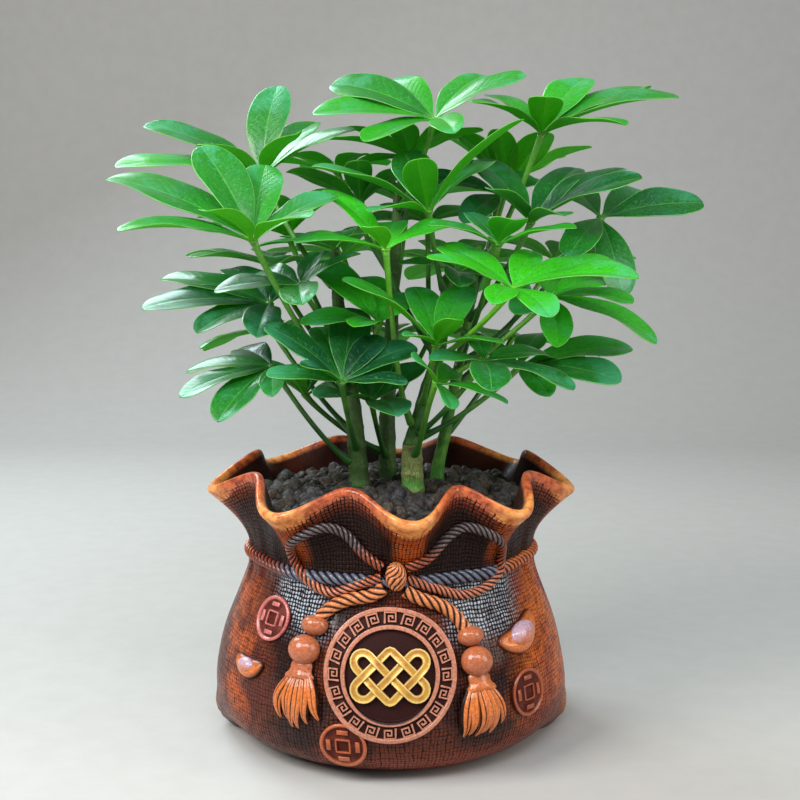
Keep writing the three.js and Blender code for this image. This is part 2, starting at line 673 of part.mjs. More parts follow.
// Mean axis of a fan of leaflets, the side that its upper faces look to
function fanAxis(fan) {
  const sorted = [...fan].sort((a, b) => a[0] - b[0]).map(([bearing, rise]) => direction(bearing, rise));
  const sum = new THREE.Vector3();
  sorted.forEach((d, i) => sum.add(d.clone().cross(sorted[(i + 1) % sorted.length])));
  return sum.lengthSq() > 0.01 ? sum.normalize() : UP.clone();
}

const LEAFLET_ROWS = [[0.42, 0.8], [0.74, 1], [1, 0.3]];
const PLAIN_ROWS = [[0.64, 1], [1, 0.4]];
const ROW_POINTS = 6;

// Cross-sections of a folded, drooping blade: left, middle and right on its upper face, then below
function leafletRows(hub, axis, [bearing, rise, length], rows) {
  const along = direction(bearing, rise);
  const side = axis.clone().cross(along).normalize();
  const up = along.clone().cross(side).normalize();
  const half = (length * LEAFLET_ASPECT) / 2;
  const arch = (length * rad(DROOP_ANGLE)) / 2;
  return rows.flatMap(([share, width]) => {
    const middle = hub.clone().addScaledVector(along, share * length)
      .addScaledVector(up, arch * share * (1 - share));
    const reach = half * width;
    const lift = share < 1 ? reach * Math.tan(rad(FOLD_ANGLE)) : 0;
    return [BLADE / 2, -BLADE / 2].flatMap((face) => [1, share < 1 ? 0 : 1, -1].map((hand) => (
      middle.clone().addScaledVector(side, hand * reach).addScaledVector(up, Math.abs(hand) * lift + face))));
  });
}

// Triangles between two cross-sections, with both faces split along the same lines
function bladeBand(low, high) {
  const face = (a, b) => [
    [a[1], b[0], a[0]], [a[1], b[1], b[0]],
    [a[1], a[2], b[2]], [a[1], b[2], b[1]],
  ];
  const upper = face(low.slice(0, 3), high.slice(0, 3));
  const lower = face(low.slice(3), high.slice(3)).map(([a, b, c]) => [a, c, b]);
  const left = [[low[0], high[0], low[3]], [high[0], high[3], low[3]]];
  const right = [[low[2], low[5], high[2]], [high[2], low[5], high[5]]];
  return [...upper, ...lower, ...left, ...right];
}

// Corners of the hub round its axis: each leaflet has a start and an end corner
function hubCorners(turns) {
  const corners = [];
  const ends = turns.map(() => [0, 0]);
  turns.forEach((turn, i) => {
    const next = (i + 1) % turns.length;
    const gap = (((turns[next] - turn) % 360) + 360) % 360 || 360;
    ends[i][1] = corners.length;
    corners.push(turn + Math.min(gap / 2, HUB_SPREAD));
    if (gap > 2 * HUB_SPREAD) corners.push(turn + gap - HUB_SPREAD);
    ends[next][0] = corners.length - 1;
  });
  return { corners, ends };
}

// Centres and frames of the nearly straight petiole, from the hub down to a foot cut to lie along the stem
function petioleRings(stem, height, hub, axis, start) {
  const { centre, along, r } = stemAt(stem, height);
  const out = hub.clone().sub(centre);
  out.addScaledVector(along, -out.dot(along)).normalize();
  const foot = centre.clone().addScaledVector(out, r + GAP);
  const reach = hub.distanceTo(foot);
  const line = foot.clone().sub(hub).normalize();
  const bend = reach * PETIOLE_BEND;
  const lead = reach * PETIOLE_LEAD;
  const curve = new THREE.CubicBezierCurve3(hub,
    hub.clone().addScaledVector(line, lead).addScaledVector(axis, -bend),
    foot.clone().addScaledVector(line, -lead).addScaledVector(out, bend), foot);
  let side = start;
  return PETIOLE_ROWS.map(([t, radius]) => {
    const facing = t < 1 ? curve.getTangent(t) : out.clone().negate();
    side = side.clone().addScaledVector(facing, -side.dot(facing)).normalize();
    return { spot: curve.getPoint(t), side, across: side.clone().cross(facing), radius };
  });
}

function leafSolid([stemName, height, place, fan, rows = LEAFLET_ROWS]) {
  const stem = STEMS.find(({ name }) => name === stemName);
  const hub = new THREE.Vector3(...place);
  const axis = fanAxis(fan);
  const east = new THREE.Vector3(1, 0, 0).addScaledVector(axis, -axis.x).normalize();
  const north = axis.clone().cross(east);
  const turnOf = ([bearing, rise]) => {
    const d = direction(bearing, rise);
    return THREE.MathUtils.radToDeg(Math.atan2(d.dot(north), d.dot(east)));
  };
  const leaflets = [...fan].sort((a, b) => turnOf(a) - turnOf(b));
  const { corners, ends } = hubCorners(leaflets.map(turnOf));
  const count = corners.length;
  const ringAt = (spot, side, across, radius) => corners.map((turn) => (
    spot.clone().addScaledVector(side, radius * Math.cos(rad(turn)))
      .addScaledVector(across, radius * Math.sin(rad(turn)))));

  // Upper ring of the hub, its lower ring, then the petiole's rings
  const half = axis.clone().multiplyScalar(HUB_HALF);
  const points = [...ringAt(hub.clone().add(half), east, north, HUB_R),
    ...ringAt(hub.clone().sub(half), east, north, HUB_R)];
  petioleRings(stem, height, hub, axis, east).forEach(({ spot, side, across, radius }) => {
    points.push(...ringAt(spot, side, across, radius));
  });
  const rings = points.length / count;
  const triangles = [];
  for (let i = 1; i < count - 1; i += 1) triangles.push([0, i, i + 1]);
  const last = (rings - 1) * count;
  for (let i = 1; i < count - 1; i += 1) triangles.push([last, last + i + 1, last + i]);
  const open = new Set(ends.map(([start]) => start));
  for (let k = 0; k < rings - 1; k += 1) {
    for (let i = 0; i < count; i += 1) {
      const [a, b] = [k * count + i, k * count + ((i + 1) % count)];
      if (k > 0 || !open.has(i)) triangles.push([a, a + count, b + count], [a, b + count, b]);
    }
  }

  leaflets.forEach((row, i) => {
    const [start, end] = ends[i];
    let low = [end, end, start, end + count, end + count, start + count];
    const first = points.length;
    points.push(...leafletRows(hub, axis, row, rows));
    rows.forEach((_, k) => {
      const high = Array.from({ length: ROW_POINTS }, (__, j) => first + k * ROW_POINTS + j);
      triangles.push(...bladeBand(low, high));
      low = high;
    });
    triangles.push([low[0], low[2], low[3]], [low[2], low[5], low[3]]);
  });
  return toGeometry(toManifold(geometryFrom(points, triangles)));
}

// The whole plant in its pot

function named(name, geometry, color, roughness) {
  const mesh = new THREE.Mesh(geometry, new THREE.MeshStandardMaterial({ color, roughness, metalness: 0 }));
  mesh.name = name;
  return mesh;
}

const plant = new THREE.Group();
plant.add(named('pot', pot(), 0x8a4a22, 0.35));
plant.add(named('soil', soil(), 0x3a332e, 0.95));
STEMS.forEach((stem) => plant.add(named(stem.name, stemSolid(stem), 0x7d9464, 0.7)));
const fans = FANS.map(([stem, height, hub, ...fan]) => [stem, height, hub, evenFan(...fan), PLAIN_ROWS]);
const inner = INNER_LEAVES.map((leaf) => [...leaf, PLAIN_ROWS]);
[...LEAVES, ...fans, ...inner].forEach((leaf, i) => {
  const name = `leaf_${String(i + 1).padStart(2, '0')}`;
  plant.add(named(name, leafSolid(leaf), 0x1f8a3c, 0.4));
});

export default plant;
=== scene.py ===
import math

import bpy
import numpy as np
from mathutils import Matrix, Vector


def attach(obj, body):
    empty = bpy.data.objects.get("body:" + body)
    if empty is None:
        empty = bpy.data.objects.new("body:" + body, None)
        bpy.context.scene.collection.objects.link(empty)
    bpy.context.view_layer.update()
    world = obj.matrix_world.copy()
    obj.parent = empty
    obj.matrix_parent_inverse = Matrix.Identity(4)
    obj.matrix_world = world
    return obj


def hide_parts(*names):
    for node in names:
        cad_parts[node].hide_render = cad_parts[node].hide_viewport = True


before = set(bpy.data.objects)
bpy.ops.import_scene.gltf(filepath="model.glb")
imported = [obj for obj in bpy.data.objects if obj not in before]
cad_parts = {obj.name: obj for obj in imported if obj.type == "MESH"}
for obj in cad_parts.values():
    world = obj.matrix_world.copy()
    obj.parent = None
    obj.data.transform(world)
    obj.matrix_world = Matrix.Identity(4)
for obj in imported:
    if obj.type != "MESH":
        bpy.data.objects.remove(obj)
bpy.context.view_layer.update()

# The pot is one stoneware casting shaped like a cloth sack tied at the neck, with a folded mouth.
# It has an orange-brown glaze over a pressed sackcloth weave, and a dark one rubbed into the hollows.
# Sizes are millimetres and angles are degrees from the front, but places in materials are metres.
MM = 0.001
BODY_OUTLINE = [(0, 61), (2, 65.5), (7, 74.5), (14, 80.5), (27, 83.5), (40, 82), (52, 79),
                (65, 74), (80, 67.5), (88, 66.5)]
WALL = 5
FLOOR = 9
BAND_Z = 88
FOLD_CRESTS = [-84, -36, 7, 42, 84, 130, 178, 228]
FLARE_Z = 92
FLARE_POWER = 1.6
RIM_R = 79
RIM_FOLD = 7
RIM_Z = 121
RIM_DIP = 6
LIP = 4.6
GATHER = 1
GATHER_FROM_Z = 62
EAR_ANGLES = [-88, 88]
EAR_WIDTH = 13
EAR_OUTLINE = [(0, 17), (5, 11), (12, 5.5), (20, 1.5), (30, 0)]
EAR_TOP_Z = 30
CREASE_DEPTH = 0.42
SLACK_DEPTH = 0.5
TUCK_DEPTH = 0.55
BODY_COLUMNS = 540
BODY_ROW_STEP = 1.36
FLARE_ROWS = 30
LIP_STEP = 18
INNER_ROWS = 16
DEEP_INSIDE = 40
SLOPE_STEP = 0.5
THREAD_PITCH = 1.75
MAP_ROUND = 80
MAP_UP = 200


def smoothstep(value, low, high):
    share = np.clip((value - low) / (high - low), 0, 1)
    return share * share * (3 - 2 * share)


def smooth_through(knots, values, slopes, at):
    """A smooth curve along the knots, through a value or a point at each."""
    k = np.clip(np.searchsorted(knots, at) - 1, 0, len(knots) - 2)
    span = knots[k + 1] - knots[k]
    t = (at - knots[k]) / span
    if values.ndim > 1:
        span, t = span[:, None], t[:, None]
    ends = values[k] * (1 + 2 * t) * (1 - t) ** 2 + values[k + 1] * t * t * (3 - 2 * t)
    return ends + span * t * (1 - t) * (slopes[k] * (1 - t) - slopes[k + 1] * t)


def height_curve(table, z):
    """A smooth curve through (height, value) places."""
    knots, values = np.array(table, float).T
    index = np.arange(len(knots))
    before, after = np.maximum(index - 1, 0), np.minimum(index + 1, index[-1])
    slopes = (values[after] - values[before]) / (knots[after] - knots[before])
    return smooth_through(knots, values, slopes, z)


def fold_wave(angle):
    """1 on the crest of a fold that leans out, -1 in the fold that stands in."""
    crests = np.array(FOLD_CRESTS + [FOLD_CRESTS[0] + 360], float)
    turned = (angle - crests[0]) % 360 + crests[0]
    k = np.clip(np.searchsorted(crests, turned, side="right") - 1, 0, len(crests) - 2)
    return np.cos(2 * np.pi * (turned - crests[k]) / (crests[k + 1] - crests[k]))


def rim_height(angle):
    return RIM_Z - RIM_DIP * fold_wave(angle)


def flare_z(angle, share):
    return FLARE_Z + share * (rim_height(angle) - FLARE_Z)


def wall_radius(angle, z):
    wave = fold_wave(angle)
    gather = GATHER * wave * smoothstep(z, GATHER_FROM_Z, BAND_Z)
    neck = height_curve(BODY_OUTLINE, np.minimum(z, BAND_Z)) + gather
    signed = (angle + 180) % 360 - 180
    near_ear = sum(np.exp(-(((signed - ear) / EAR_WIDTH) ** 2)) for ear in EAR_ANGLES)
    ears = np.where(z < EAR_TOP_Z, height_curve(EAR_OUTLINE, z), 0) * near_ear
    rise = np.clip((z - FLARE_Z) / (rim_height(angle) - FLARE_Z), 0, None)
    return neck + np.where(z <= FLARE_Z, ears, (RIM_R + RIM_FOLD * wave - neck) * rise**FLARE_POWER)


def around(angle, radius, z):
    turn = np.radians(angle)
    return np.stack(np.broadcast_arrays(radius * np.sin(turn), -radius * np.cos(turn), z), -1)


def wall_slope(angle, z):
    """Outward direction of the wall as (radial, upward)."""
    half = SLOPE_STEP / 2
    rise = (wall_radius(angle, z + half) - wall_radius(angle, z - half)) / SLOPE_STEP
    length = np.hypot(1, rise)
    return 1 / length, -rise / length


def on_wall(angle, z, lift=0.0):
    out, up = wall_slope(angle, z)
    return around(angle, wall_radius(angle, z) + lift * out, z + lift * up)


def inner_wall(angle, z, gap=0.0):
    flat = around(angle, height_curve(BODY_OUTLINE, np.minimum(z, BAND_Z)) - WALL - gap, z)
    thick = WALL + (LIP - WALL) * smoothstep(z, BAND_Z, FLARE_Z + 10)
    return np.where((z < BAND_Z)[..., None], flat, on_wall(angle, z, -(thick + gap)))


def lip_point(angle, turn):
    z = rim_height(angle)
    out, up = wall_slope(angle, z - 0.3)
    across = LIP / 2 * (math.cos(turn) - 1)
    along = LIP / 2 * math.sin(turn)
    return around(angle, wall_radius(angle, z) + across * out - along * up, z + across * up + along * out)


def sack_creases(angle, z):
    """Gathers below the rope and under the folds, and tucks at the corners, but none by the medallion."""
    turn = np.radians(angle)
    comb = np.sin(31 * turn + 1.5 * np.sin(3 * turn)) + 0.6 * np.sin(53 * turn + 2 * np.cos(2 * turn))
    gathers = CREASE_DEPTH * comb * (smoothstep(z, 58, 84) - 0.7 * smoothstep(z, 94, 112))
    slack = SLACK_DEPTH * np.sin(5 * turn + z / 13) * np.sin(z / 27) * smoothstep(z, 2, 12)
    signed = (angle + 180) % 360 - 180
    tucks = 0.0
    for ear in EAR_ANGLES:
        x, y = (signed - ear) * 1.4, z - 3
        fan = np.sin(9 * np.arctan2(x, y + 4))
        tucks = tucks + TUCK_DEPTH * fan * np.exp(-(x * x + y * y) / 420) * smoothstep(z, 1, 5)
    calm = np.exp(-((signed / 27) ** 4) - ((z - 50) / 36) ** 4)
    return (gathers + slack * (1 - smoothstep(z, 60, 84)) + tucks) * (1 - calm)


def skin_faces(rings, count, joined=False):
    """Quads between rings of equal counts, round to the first ring again where joined."""
    faces = []
    for k in range(rings if joined else rings - 1):
        low, high = k * count, (k + 1) % rings * count
        faces += [(low + i, low + (i + 1) % count, high + (i + 1) % count, high + i) for i in range(count)]
    return faces


def closed_skin(rings, joined=False):
    """Points and outward faces of a skin over rings of points; ends that don't join are closed by fans."""
    rings = np.asarray(rings, float)
    count = rings.shape[1]
    points, faces = rings.reshape(-1, 3), skin_faces(len(rings), count, joined)
    if not joined:
        last, middle = (len(rings) - 1) * count, len(points)
        faces += [(middle, (i + 1) % count, i) for i in range(count)]
        faces += [(middle + 1, last + i, last + (i + 1) % count) for i in range(count)]
        points = np.vstack([points, rings[0].mean(0), rings[-1].mean(0)])
    thirds = np.array([(f[0], f[i], f[i + 1]) for f in faces for i in range(1, len(f) - 1)])
    a, b, c = points[thirds].transpose(1, 0, 2)
    volume = np.einsum("ij,ij->", a, np.cross(b, c))
    return points, faces if volume > 0 else [f[::-1] for f in faces]


def finished(name, mesh, materials, node_name, sharp=None):
    """A finished piece that rides with the pot and stands for the CAD node that it replaces."""
    for material in materials:
        mesh.materials.append(material)
    mesh.update()
    mesh.shade_smooth()
    if sharp:
        mesh.set_sharp_from_angle(angle=math.radians(sharp))
    obj = bpy.data.objects.new(name, mesh)
    bpy.context.scene.collection.objects.link(obj)
    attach(obj, "root")
    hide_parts(node_name)
    return obj


def mark(mesh, **marks):
    """Keeps values of the mesh's points for its material to read."""
    for key, values in marks.items():
        layer = mesh.attributes.new(key, "FLOAT", "POINT")
        layer.data.foreach_set("value", np.asarray(values, np.float32))


def piece(name, skin, materials, slot="pot", node_name="pot", sharp=None, **marks):
    mesh = bpy.data.meshes.new(name)
    mesh.from_pydata((np.asarray(skin[0]) * MM).tolist(), [], skin[1])
    mark(mesh, **marks)
    return finished(name, mesh, materials, node_name, sharp)


def wired(made, inputs):
    """Sets a node's inputs, each to a plain value or to a field."""
    for key, value in inputs.items():
        if isinstance(value, Field):
            value.tree.links.new(value.socket, made.inputs[key])
        else:
            made.inputs[key].default_value = value
    return made


def node(tree, kind, inputs, **settings):
    made = tree.nodes.new(kind)
    for key, value in settings.items():
        setattr(made, key, value)
    return wired(made, inputs)


def field(tree, kind, inputs=None, output=0, **settings):
    """What one output of a new node gives."""
    return Field(tree, node(tree, kind, inputs or {}, **settings).outputs[output])


def maths(operation, first, second=0.0):
    """One operation on two fields, or on a field and a number."""
    tree = (first if isinstance(first, Field) else second).tree
    return field(tree, "ShaderNodeMath", {0: first, 1: second}, operation=operation)


def pigment(colour):
    """A colour given as it looks on a screen, 0 to 255, as the shader wants it."""
    linear = [c / 255 / 12.92 if c <= 10 else ((c / 255 + 0.055) / 1.055) ** 2.4 for c in colour]
    return (*linear, 1.0)


class Field:
    """A value or colour that a node tree gives at each place, so that sums of them read as sums."""

    def __init__(self, tree, socket):
        self.tree, self.socket = tree, socket

    def __add__(self, other):
        return maths("ADD", self, other)

    def __sub__(self, other):
        return maths("SUBTRACT", self, other)

    def __rsub__(self, other):
        return maths("SUBTRACT", other, self)

    def __mul__(self, other):
        return maths("MULTIPLY", self, other)

    def __abs__(self):
        return maths("ABSOLUTE", self)

    def clamped(self):
        """The same sum, kept between 0 and 1."""
        self.socket.node.use_clamp = True
        return self

    def ramp(self, low, high, start=0.0, end=1.0):
        """start below low, end above high, with a smooth change in between."""
        return field(self.tree, "ShaderNodeMapRange", {
            "Value": self, "From Min": low, "From Max": high, "To Min": start, "To Max": end},
            interpolation_type="SMOOTHSTEP")

    def mix(self, *colours):
        """The first colour where this field is 0 and the second where it is 1, fields or screen colours."""
        first, second = (c if isinstance(c, Field) else pigment(c) for c in colours)
        return field(self.tree, "ShaderNodeMix", {0: self, 6: first, 7: second}, 2, data_type="RGBA")

    def noise(self, scale, detail, rough):
        return field(self.tree, "ShaderNodeTexNoise", {
            "Vector": self, "Scale": scale, "Detail": detail, "Roughness": rough}, "Fac")

    def parts(self):
        made = node(self.tree, "ShaderNodeSeparateXYZ", {0: self})
        return [Field(self.tree, socket) for socket in made.outputs]


def fields(tree, sockets):
    return {socket.name: Field(tree, socket) for socket in sockets}


def object_place(tree):
    return field(tree, "ShaderNodeTexCoord", output="Object")


def attribute(tree, name):
    return field(tree, "ShaderNodeAttribute", output="Fac", attribute_name=name)


def new_group(name, inputs, outputs):
    """A shader group with named sockets, colours where the name says so, and the fields of its inputs."""
    tree = bpy.data.node_groups.new(name, "ShaderNodeTree")
    for way, labels in (("INPUT", inputs), ("OUTPUT", outputs)):
        for label in labels:
            kind = "NodeSocketColor" if label.endswith("Colour") else "NodeSocketFloat"
            tree.interface.new_socket(label, in_out=way, socket_type=kind)
    return tree, fields(tree, tree.nodes.new("NodeGroupInput").outputs)


def grouped(tree, group, **inputs):
    """The fields that a group gives in a material, with underscores for the spaces of its inputs' names."""
    named = {key.replace("_", " "): value for key, value in inputs.items()}
    return fields(tree, node(tree, "ShaderNodeGroup", named, node_tree=group).outputs)


def new_material(name, **constants):
    """A material and its tree, with its constants set on its shader's own sockets."""
    material = bpy.data.materials.new(name)
    material.use_nodes = True
    for key, value in constants.items():
        material.node_tree.nodes["Principled BSDF"].inputs[key.replace("_", " ")].default_value = value
    return material, material.node_tree


def surfaced(material, colour, rough, relief, strength, depth, **more):
    """Gives a material its colour, its roughness and a fine relief of so many millimetres."""
    tree = material.node_tree
    normal = field(tree, "ShaderNodeBump", {"Height": relief, "Strength": strength, "Distance": depth * MM})
    wired(tree.nodes["Principled BSDF"], {"Base Color": colour, "Roughness": rough, "Normal": normal})
    wired(tree.nodes["Principled BSDF"], {key.replace("_", " "): value for key, value in more.items()})
    return material


def rubbed_glaze_group():
    """Light glaze on what stands out, dark glaze in the hollows, both broken up by kiln mottling."""
    tree, given = new_group("rubbed_glaze", ["Raised Colour", "Hollow Colour", "Height", "Mottle"],
                            ["Colour", "Roughness", "Grain"])
    place = object_place(tree)
    coarse, fine = place.noise(160.0, 4.0, 0.6), place.noise(960.0, 3.0, 0.6)
    height = (given["Height"] + (coarse - 0.5) * given["Mottle"]).clamped()
    raised = fine.ramp(0.3, 0.75, 0.0, 0.45).mix(given["Raised Colour"], given["Hollow Colour"])
    node(tree, "NodeGroupOutput", {
        "Colour": height.mix(given["Hollow Colour"], raised),
        "Roughness": height.ramp(0.0, 1.0, 0.6, 0.3), "Grain": fine})
    return tree


def sack_weave_group():
    """Sackcloth: square threads with dark grooves between them, every second groove deeper."""
    tree, given = new_group("sack_weave", ["Around", "Up", "Wander"], ["Height", "Gap"])
    place = object_place(tree)
    shift = (place.noise(110.0, 3.0, 0.6) - 0.5) * given["Wander"]
    slub = place.noise(420.0, 2.0, 0.5)
    waves, grooves = [], []
    for along, deep in (("Around", 1.0), ("Up", 0.8)):
        line = (given[along] + shift) * math.pi
        wave = maths("SINE", line)
        strong = abs(maths("SINE", line * 0.5)).ramp(0.6, 0.8, 0.62 * deep, deep)
        waves.append(wave)
        grooves.append(abs(wave).ramp(0.62, 0.16) * strong)
    cell = waves[0] * waves[1]
    uneven = maths("POWER", abs(cell), 0.6) * slub.ramp(0.3, 0.7, 0.72, 1.15)
    dark = maths("MAXIMUM", *grooves) * slub.ramp(0.66, 0.36, 0.35, 1.15)
    node(tree, "NodeGroupOutput", {
        "Height": (uneven * cell.ramp(-1.0, 1.0, 0.78, 1.0)).clamped(), "Gap": dark.clamped()})
    return tree


rubbed_glaze = rubbed_glaze_group()
sack_weave = sack_weave_group()


def side_and_belly(spot, gap, wide, fine):
    """Orange threads at the sides and dark red-brown ones in front, with painted light and shade on both."""
    x, _, z = spot
    side = abs(x) + wide * 0.026
    flank = side.ramp(0.06, 0.078)
    # Painted light: the right flank is painted brighter orange than the left.
    right = wide.ramp(0.4, 0.62).mix((224, 112, 32), (158, 60, 22))
    left = wide.ramp(0.36, 0.54).mix((200, 92, 30), (88, 36, 22))
    warm = x.ramp(-0.03, 0.03).mix(left, right)
    warm = fine.ramp(0.4, 0.64, 0.0, 0.6).mix(warm, (92, 33, 18))
    warm = z.ramp(0.034, 0.012, 0.0, 0.6).mix(warm, (84, 28, 16))
    # Painted highlights: bright orange on the lower corners by the ears.
    corner = side.ramp(0.094, 0.104) * z.ramp(0.03, 0.018)
    warm = (corner * 0.8).mix(warm, (238, 140, 48))
    # The dark red-brown front round the medallion is partly glaze and partly painted shade.
    belly = wide.ramp(0.38, 0.6).mix((44, 18, 13), (96, 42, 24))
    foot = z.ramp(0.02, 0.004) * wide.ramp(0.42, 0.56, 0.2, 0.85)
    threads = flank.mix(foot.mix(belly, (164, 62, 24)), warm)
    crease = flank.mix((11, 4, 4), (48, 11, 5))
    return side, (gap * 0.95).mix(threads, crease)


def shoulder_reflection(spot, wide, height, cloth):
    """A painted reflection on both shoulders: the glaze painted blue-black with silvery threads."""
    x, y, z = spot
    left = x.ramp(-0.054, -0.046) * x.ramp(-0.022, -0.032)
    right = x.ramp(0.02, 0.03) * x.ramp(0.062, 0.05)
    front = maths("MAXIMUM", left, right) * y.ramp(-0.02, -0.055)
    painted_reflection = z.ramp(0.058, 0.068) * z.ramp(0.093, 0.087) * front * wide.ramp(0.36, 0.5, 0.3, 1)
    # Painted reflection: a blue-black ground, then silvery thread tops.
    cloth = (painted_reflection * 0.9).mix(cloth, (15, 12, 18))
    return (painted_reflection * height.ramp(0.35, 0.8) * 0.9).mix(cloth, (182, 192, 202))


def neck_shade_and_fold_light(z, side, gap, down, fold, cloth):
    """A brown-black neck, partly its glaze and partly painted shade under the lip, and painted light on
    outward folds.
    """
    # Painted shade under the lip, over the neck's dark glaze.
    neck = z.ramp(0.082, 0.09) * side.ramp(0.104, 0.088, 0.55, 1.0)
    cloth = (neck * 0.95).mix(cloth, gap.mix((30, 14, 10), (8, 4, 4)))
    # Painted light: orange threads where a fold leans out below the lip.
    painted_fold_light = (gap * 1.3).clamped().mix((206, 94, 36), (24, 8, 5))
    return (fold.ramp(0.45, 0.95) * down.ramp(27.0, 12.0) * 0.9).mix(cloth, painted_fold_light)


def amber_lip(gap, down, inside, fold, wide, fine, cloth):
    """The rolled lip is amber with short dark strokes below, and the mouth is dark inside."""
    reach = down + (gap * 2.0 + wide * 3.0) - fold * 1.7
    cloth = (reach.ramp(13.0, 5.0, 0.0, 0.6) * gap.ramp(0.6, 0.0)).mix(cloth, (140, 56, 22))
    # The lip's amber is partly its glaze and partly painted light from above, yellower where a fold leans
    # out.
    orange = fine.ramp(0.35, 0.7).mix((200, 100, 58), (118, 44, 26))
    yellow = fine.ramp(0.35, 0.7).mix((234, 158, 88), (186, 96, 46))
    amber = fold.ramp(-0.3, 0.8).mix(orange, yellow)
    cloth = reach.ramp(5.8, 4.0).mix(cloth, amber)
    hollow = wide.ramp(0.35, 0.7).mix((24, 10, 8), (58, 23, 15))
    return inside.ramp(0.0, 1.0).mix(cloth, inside.ramp(2.6, 0.6, 0.0, 0.85).mix(hollow, amber))


def sack_glaze():
    material, tree = new_material("sack_glaze", Coat_Roughness=0.16, IOR=1.45, Specular_IOR_Level=0.12)
    u, v, _ = field(tree, "ShaderNodeTexCoord", output="UV").parts()
    weave = grouped(tree, sack_weave, Around=u * round(2 * math.pi * MAP_ROUND / THREAD_PITCH),
                    Up=v * (MAP_UP / THREAD_PITCH), Wander=1.9)
    height, gap = weave["Height"], weave["Gap"]
    down, inside, fold = (attribute(tree, key) for key in ("below_lip", "inside", "fold"))
    place = object_place(tree)
    spot = place.parts()
    z = spot[2]
    wide, fine = place.noise(38.0, 4.0, 0.6), place.noise(260.0, 4.0, 0.65)
    side, cloth = side_and_belly(spot, gap, wide, fine)
    cloth = shoulder_reflection(spot, wide, height, cloth)
    cloth = neck_shade_and_fold_light(z, side, gap, down, fold, cloth)
    colour = amber_lip(gap, down, inside, fold, wide, fine, cloth)
    outer = inside.ramp(2.0, 0.0)
    coat = z.ramp(0.082, 0.094, 0.34, 0.1) * outer + down.ramp(5.0, 1.0, 0.0, 0.6) * outer
    relief = height * (down.ramp(1.5, 5.0) * outer + 0.08) + fine * 0.25
    return surfaced(material, colour, gap.ramp(0.0, 1.0, 0.3, 0.6) + fine * 0.1, relief, 1.0, 0.6,
                    Coat_Weight=coat * gap.ramp(0.7, 0.1, 0.1, 1.0))


def wrap_map(mesh, rings, count):
    """UV map of a skin: once round is 0 to 1 across, and MAP_UP along its rows is 0 to 1 up."""
    points = np.array([v.co for v in mesh.vertices])[: rings * count].reshape(rings, count, 3)
    steps = np.linalg.norm(np.diff(points, axis=0), axis=2).mean(1)
    up = np.concatenate([[0], np.cumsum(steps)]) / (MAP_UP * MM)
    index, start = np.zeros(len(mesh.loops), int), np.zeros(len(mesh.polygons), int)
    mesh.loops.foreach_get("vertex_index", index)
    mesh.polygons.foreach_get("loop_start", start)
    across = index % count / count
    spread = np.maximum.reduceat(across, start) - np.minimum.reduceat(across, start)
    spread = np.repeat(spread, np.diff(np.append(start, len(index))))
    across = np.where((spread > 0.5) & (across < 0.5), across + 1, across)
    row = np.minimum(index // count, rings - 1)
    layer = mesh.uv_layers.new(name="UVMap")
    layer.data.foreach_set("uv", np.column_stack([across, up[row]]).astype(np.float32).ravel())


def pot_body():
    """The casting: up the outer face, over the lip and down inside, with what each row's glaze follows."""
    angles = np.arange(BODY_COLUMNS) * 360 / BODY_COLUMNS - 180
    flat, rim = np.ones(BODY_COLUMNS), rim_height(angles)
    rows, below_lip, depths = [], [], []

    def add(points, down=0.0, inside=0.0):
        rows.append(points)
        below_lip.append(down * flat)
        depths.append(inside * flat)

    for z in np.concatenate([[0, 0.6], np.arange(1.6, FLARE_Z, BODY_ROW_STEP)]):
        z = z * flat
        add(around(angles, wall_radius(angles, z) + sack_creases(angles, z), z), rim - z)
    for share in np.linspace(0, 1, FLARE_ROWS):
        z = flare_z(angles, share)
        add(around(angles, wall_radius(angles, z) + sack_creases(angles, z) * (1 - share), z), rim - z)
    for turn in np.radians(np.arange(LIP_STEP, 180, LIP_STEP)):
        add(lip_point(angles, turn))
    for share in np.linspace(0.985, 0.12, INNER_ROWS):
        z = flare_z(angles, share)
        add(inner_wall(angles, z), inside=rim - z + 0.5)
    for z in (BAND_Z, 60, 30, FLOOR):
        add(inner_wall(angles, z * flat), inside=DEEP_INSIDE)
    ends = [0.0, 0.0]
    body = piece("pot_body", closed_skin(rows), [sack_glaze()],
                 below_lip=np.concatenate([*below_lip, ends]), inside=np.concatenate([*depths, ends]),
                 fold=np.concatenate([np.tile(fold_wave(angles), len(rows)), ends]))
    wrap_map(body.data, len(rows), BODY_COLUMNS)


pot_body()

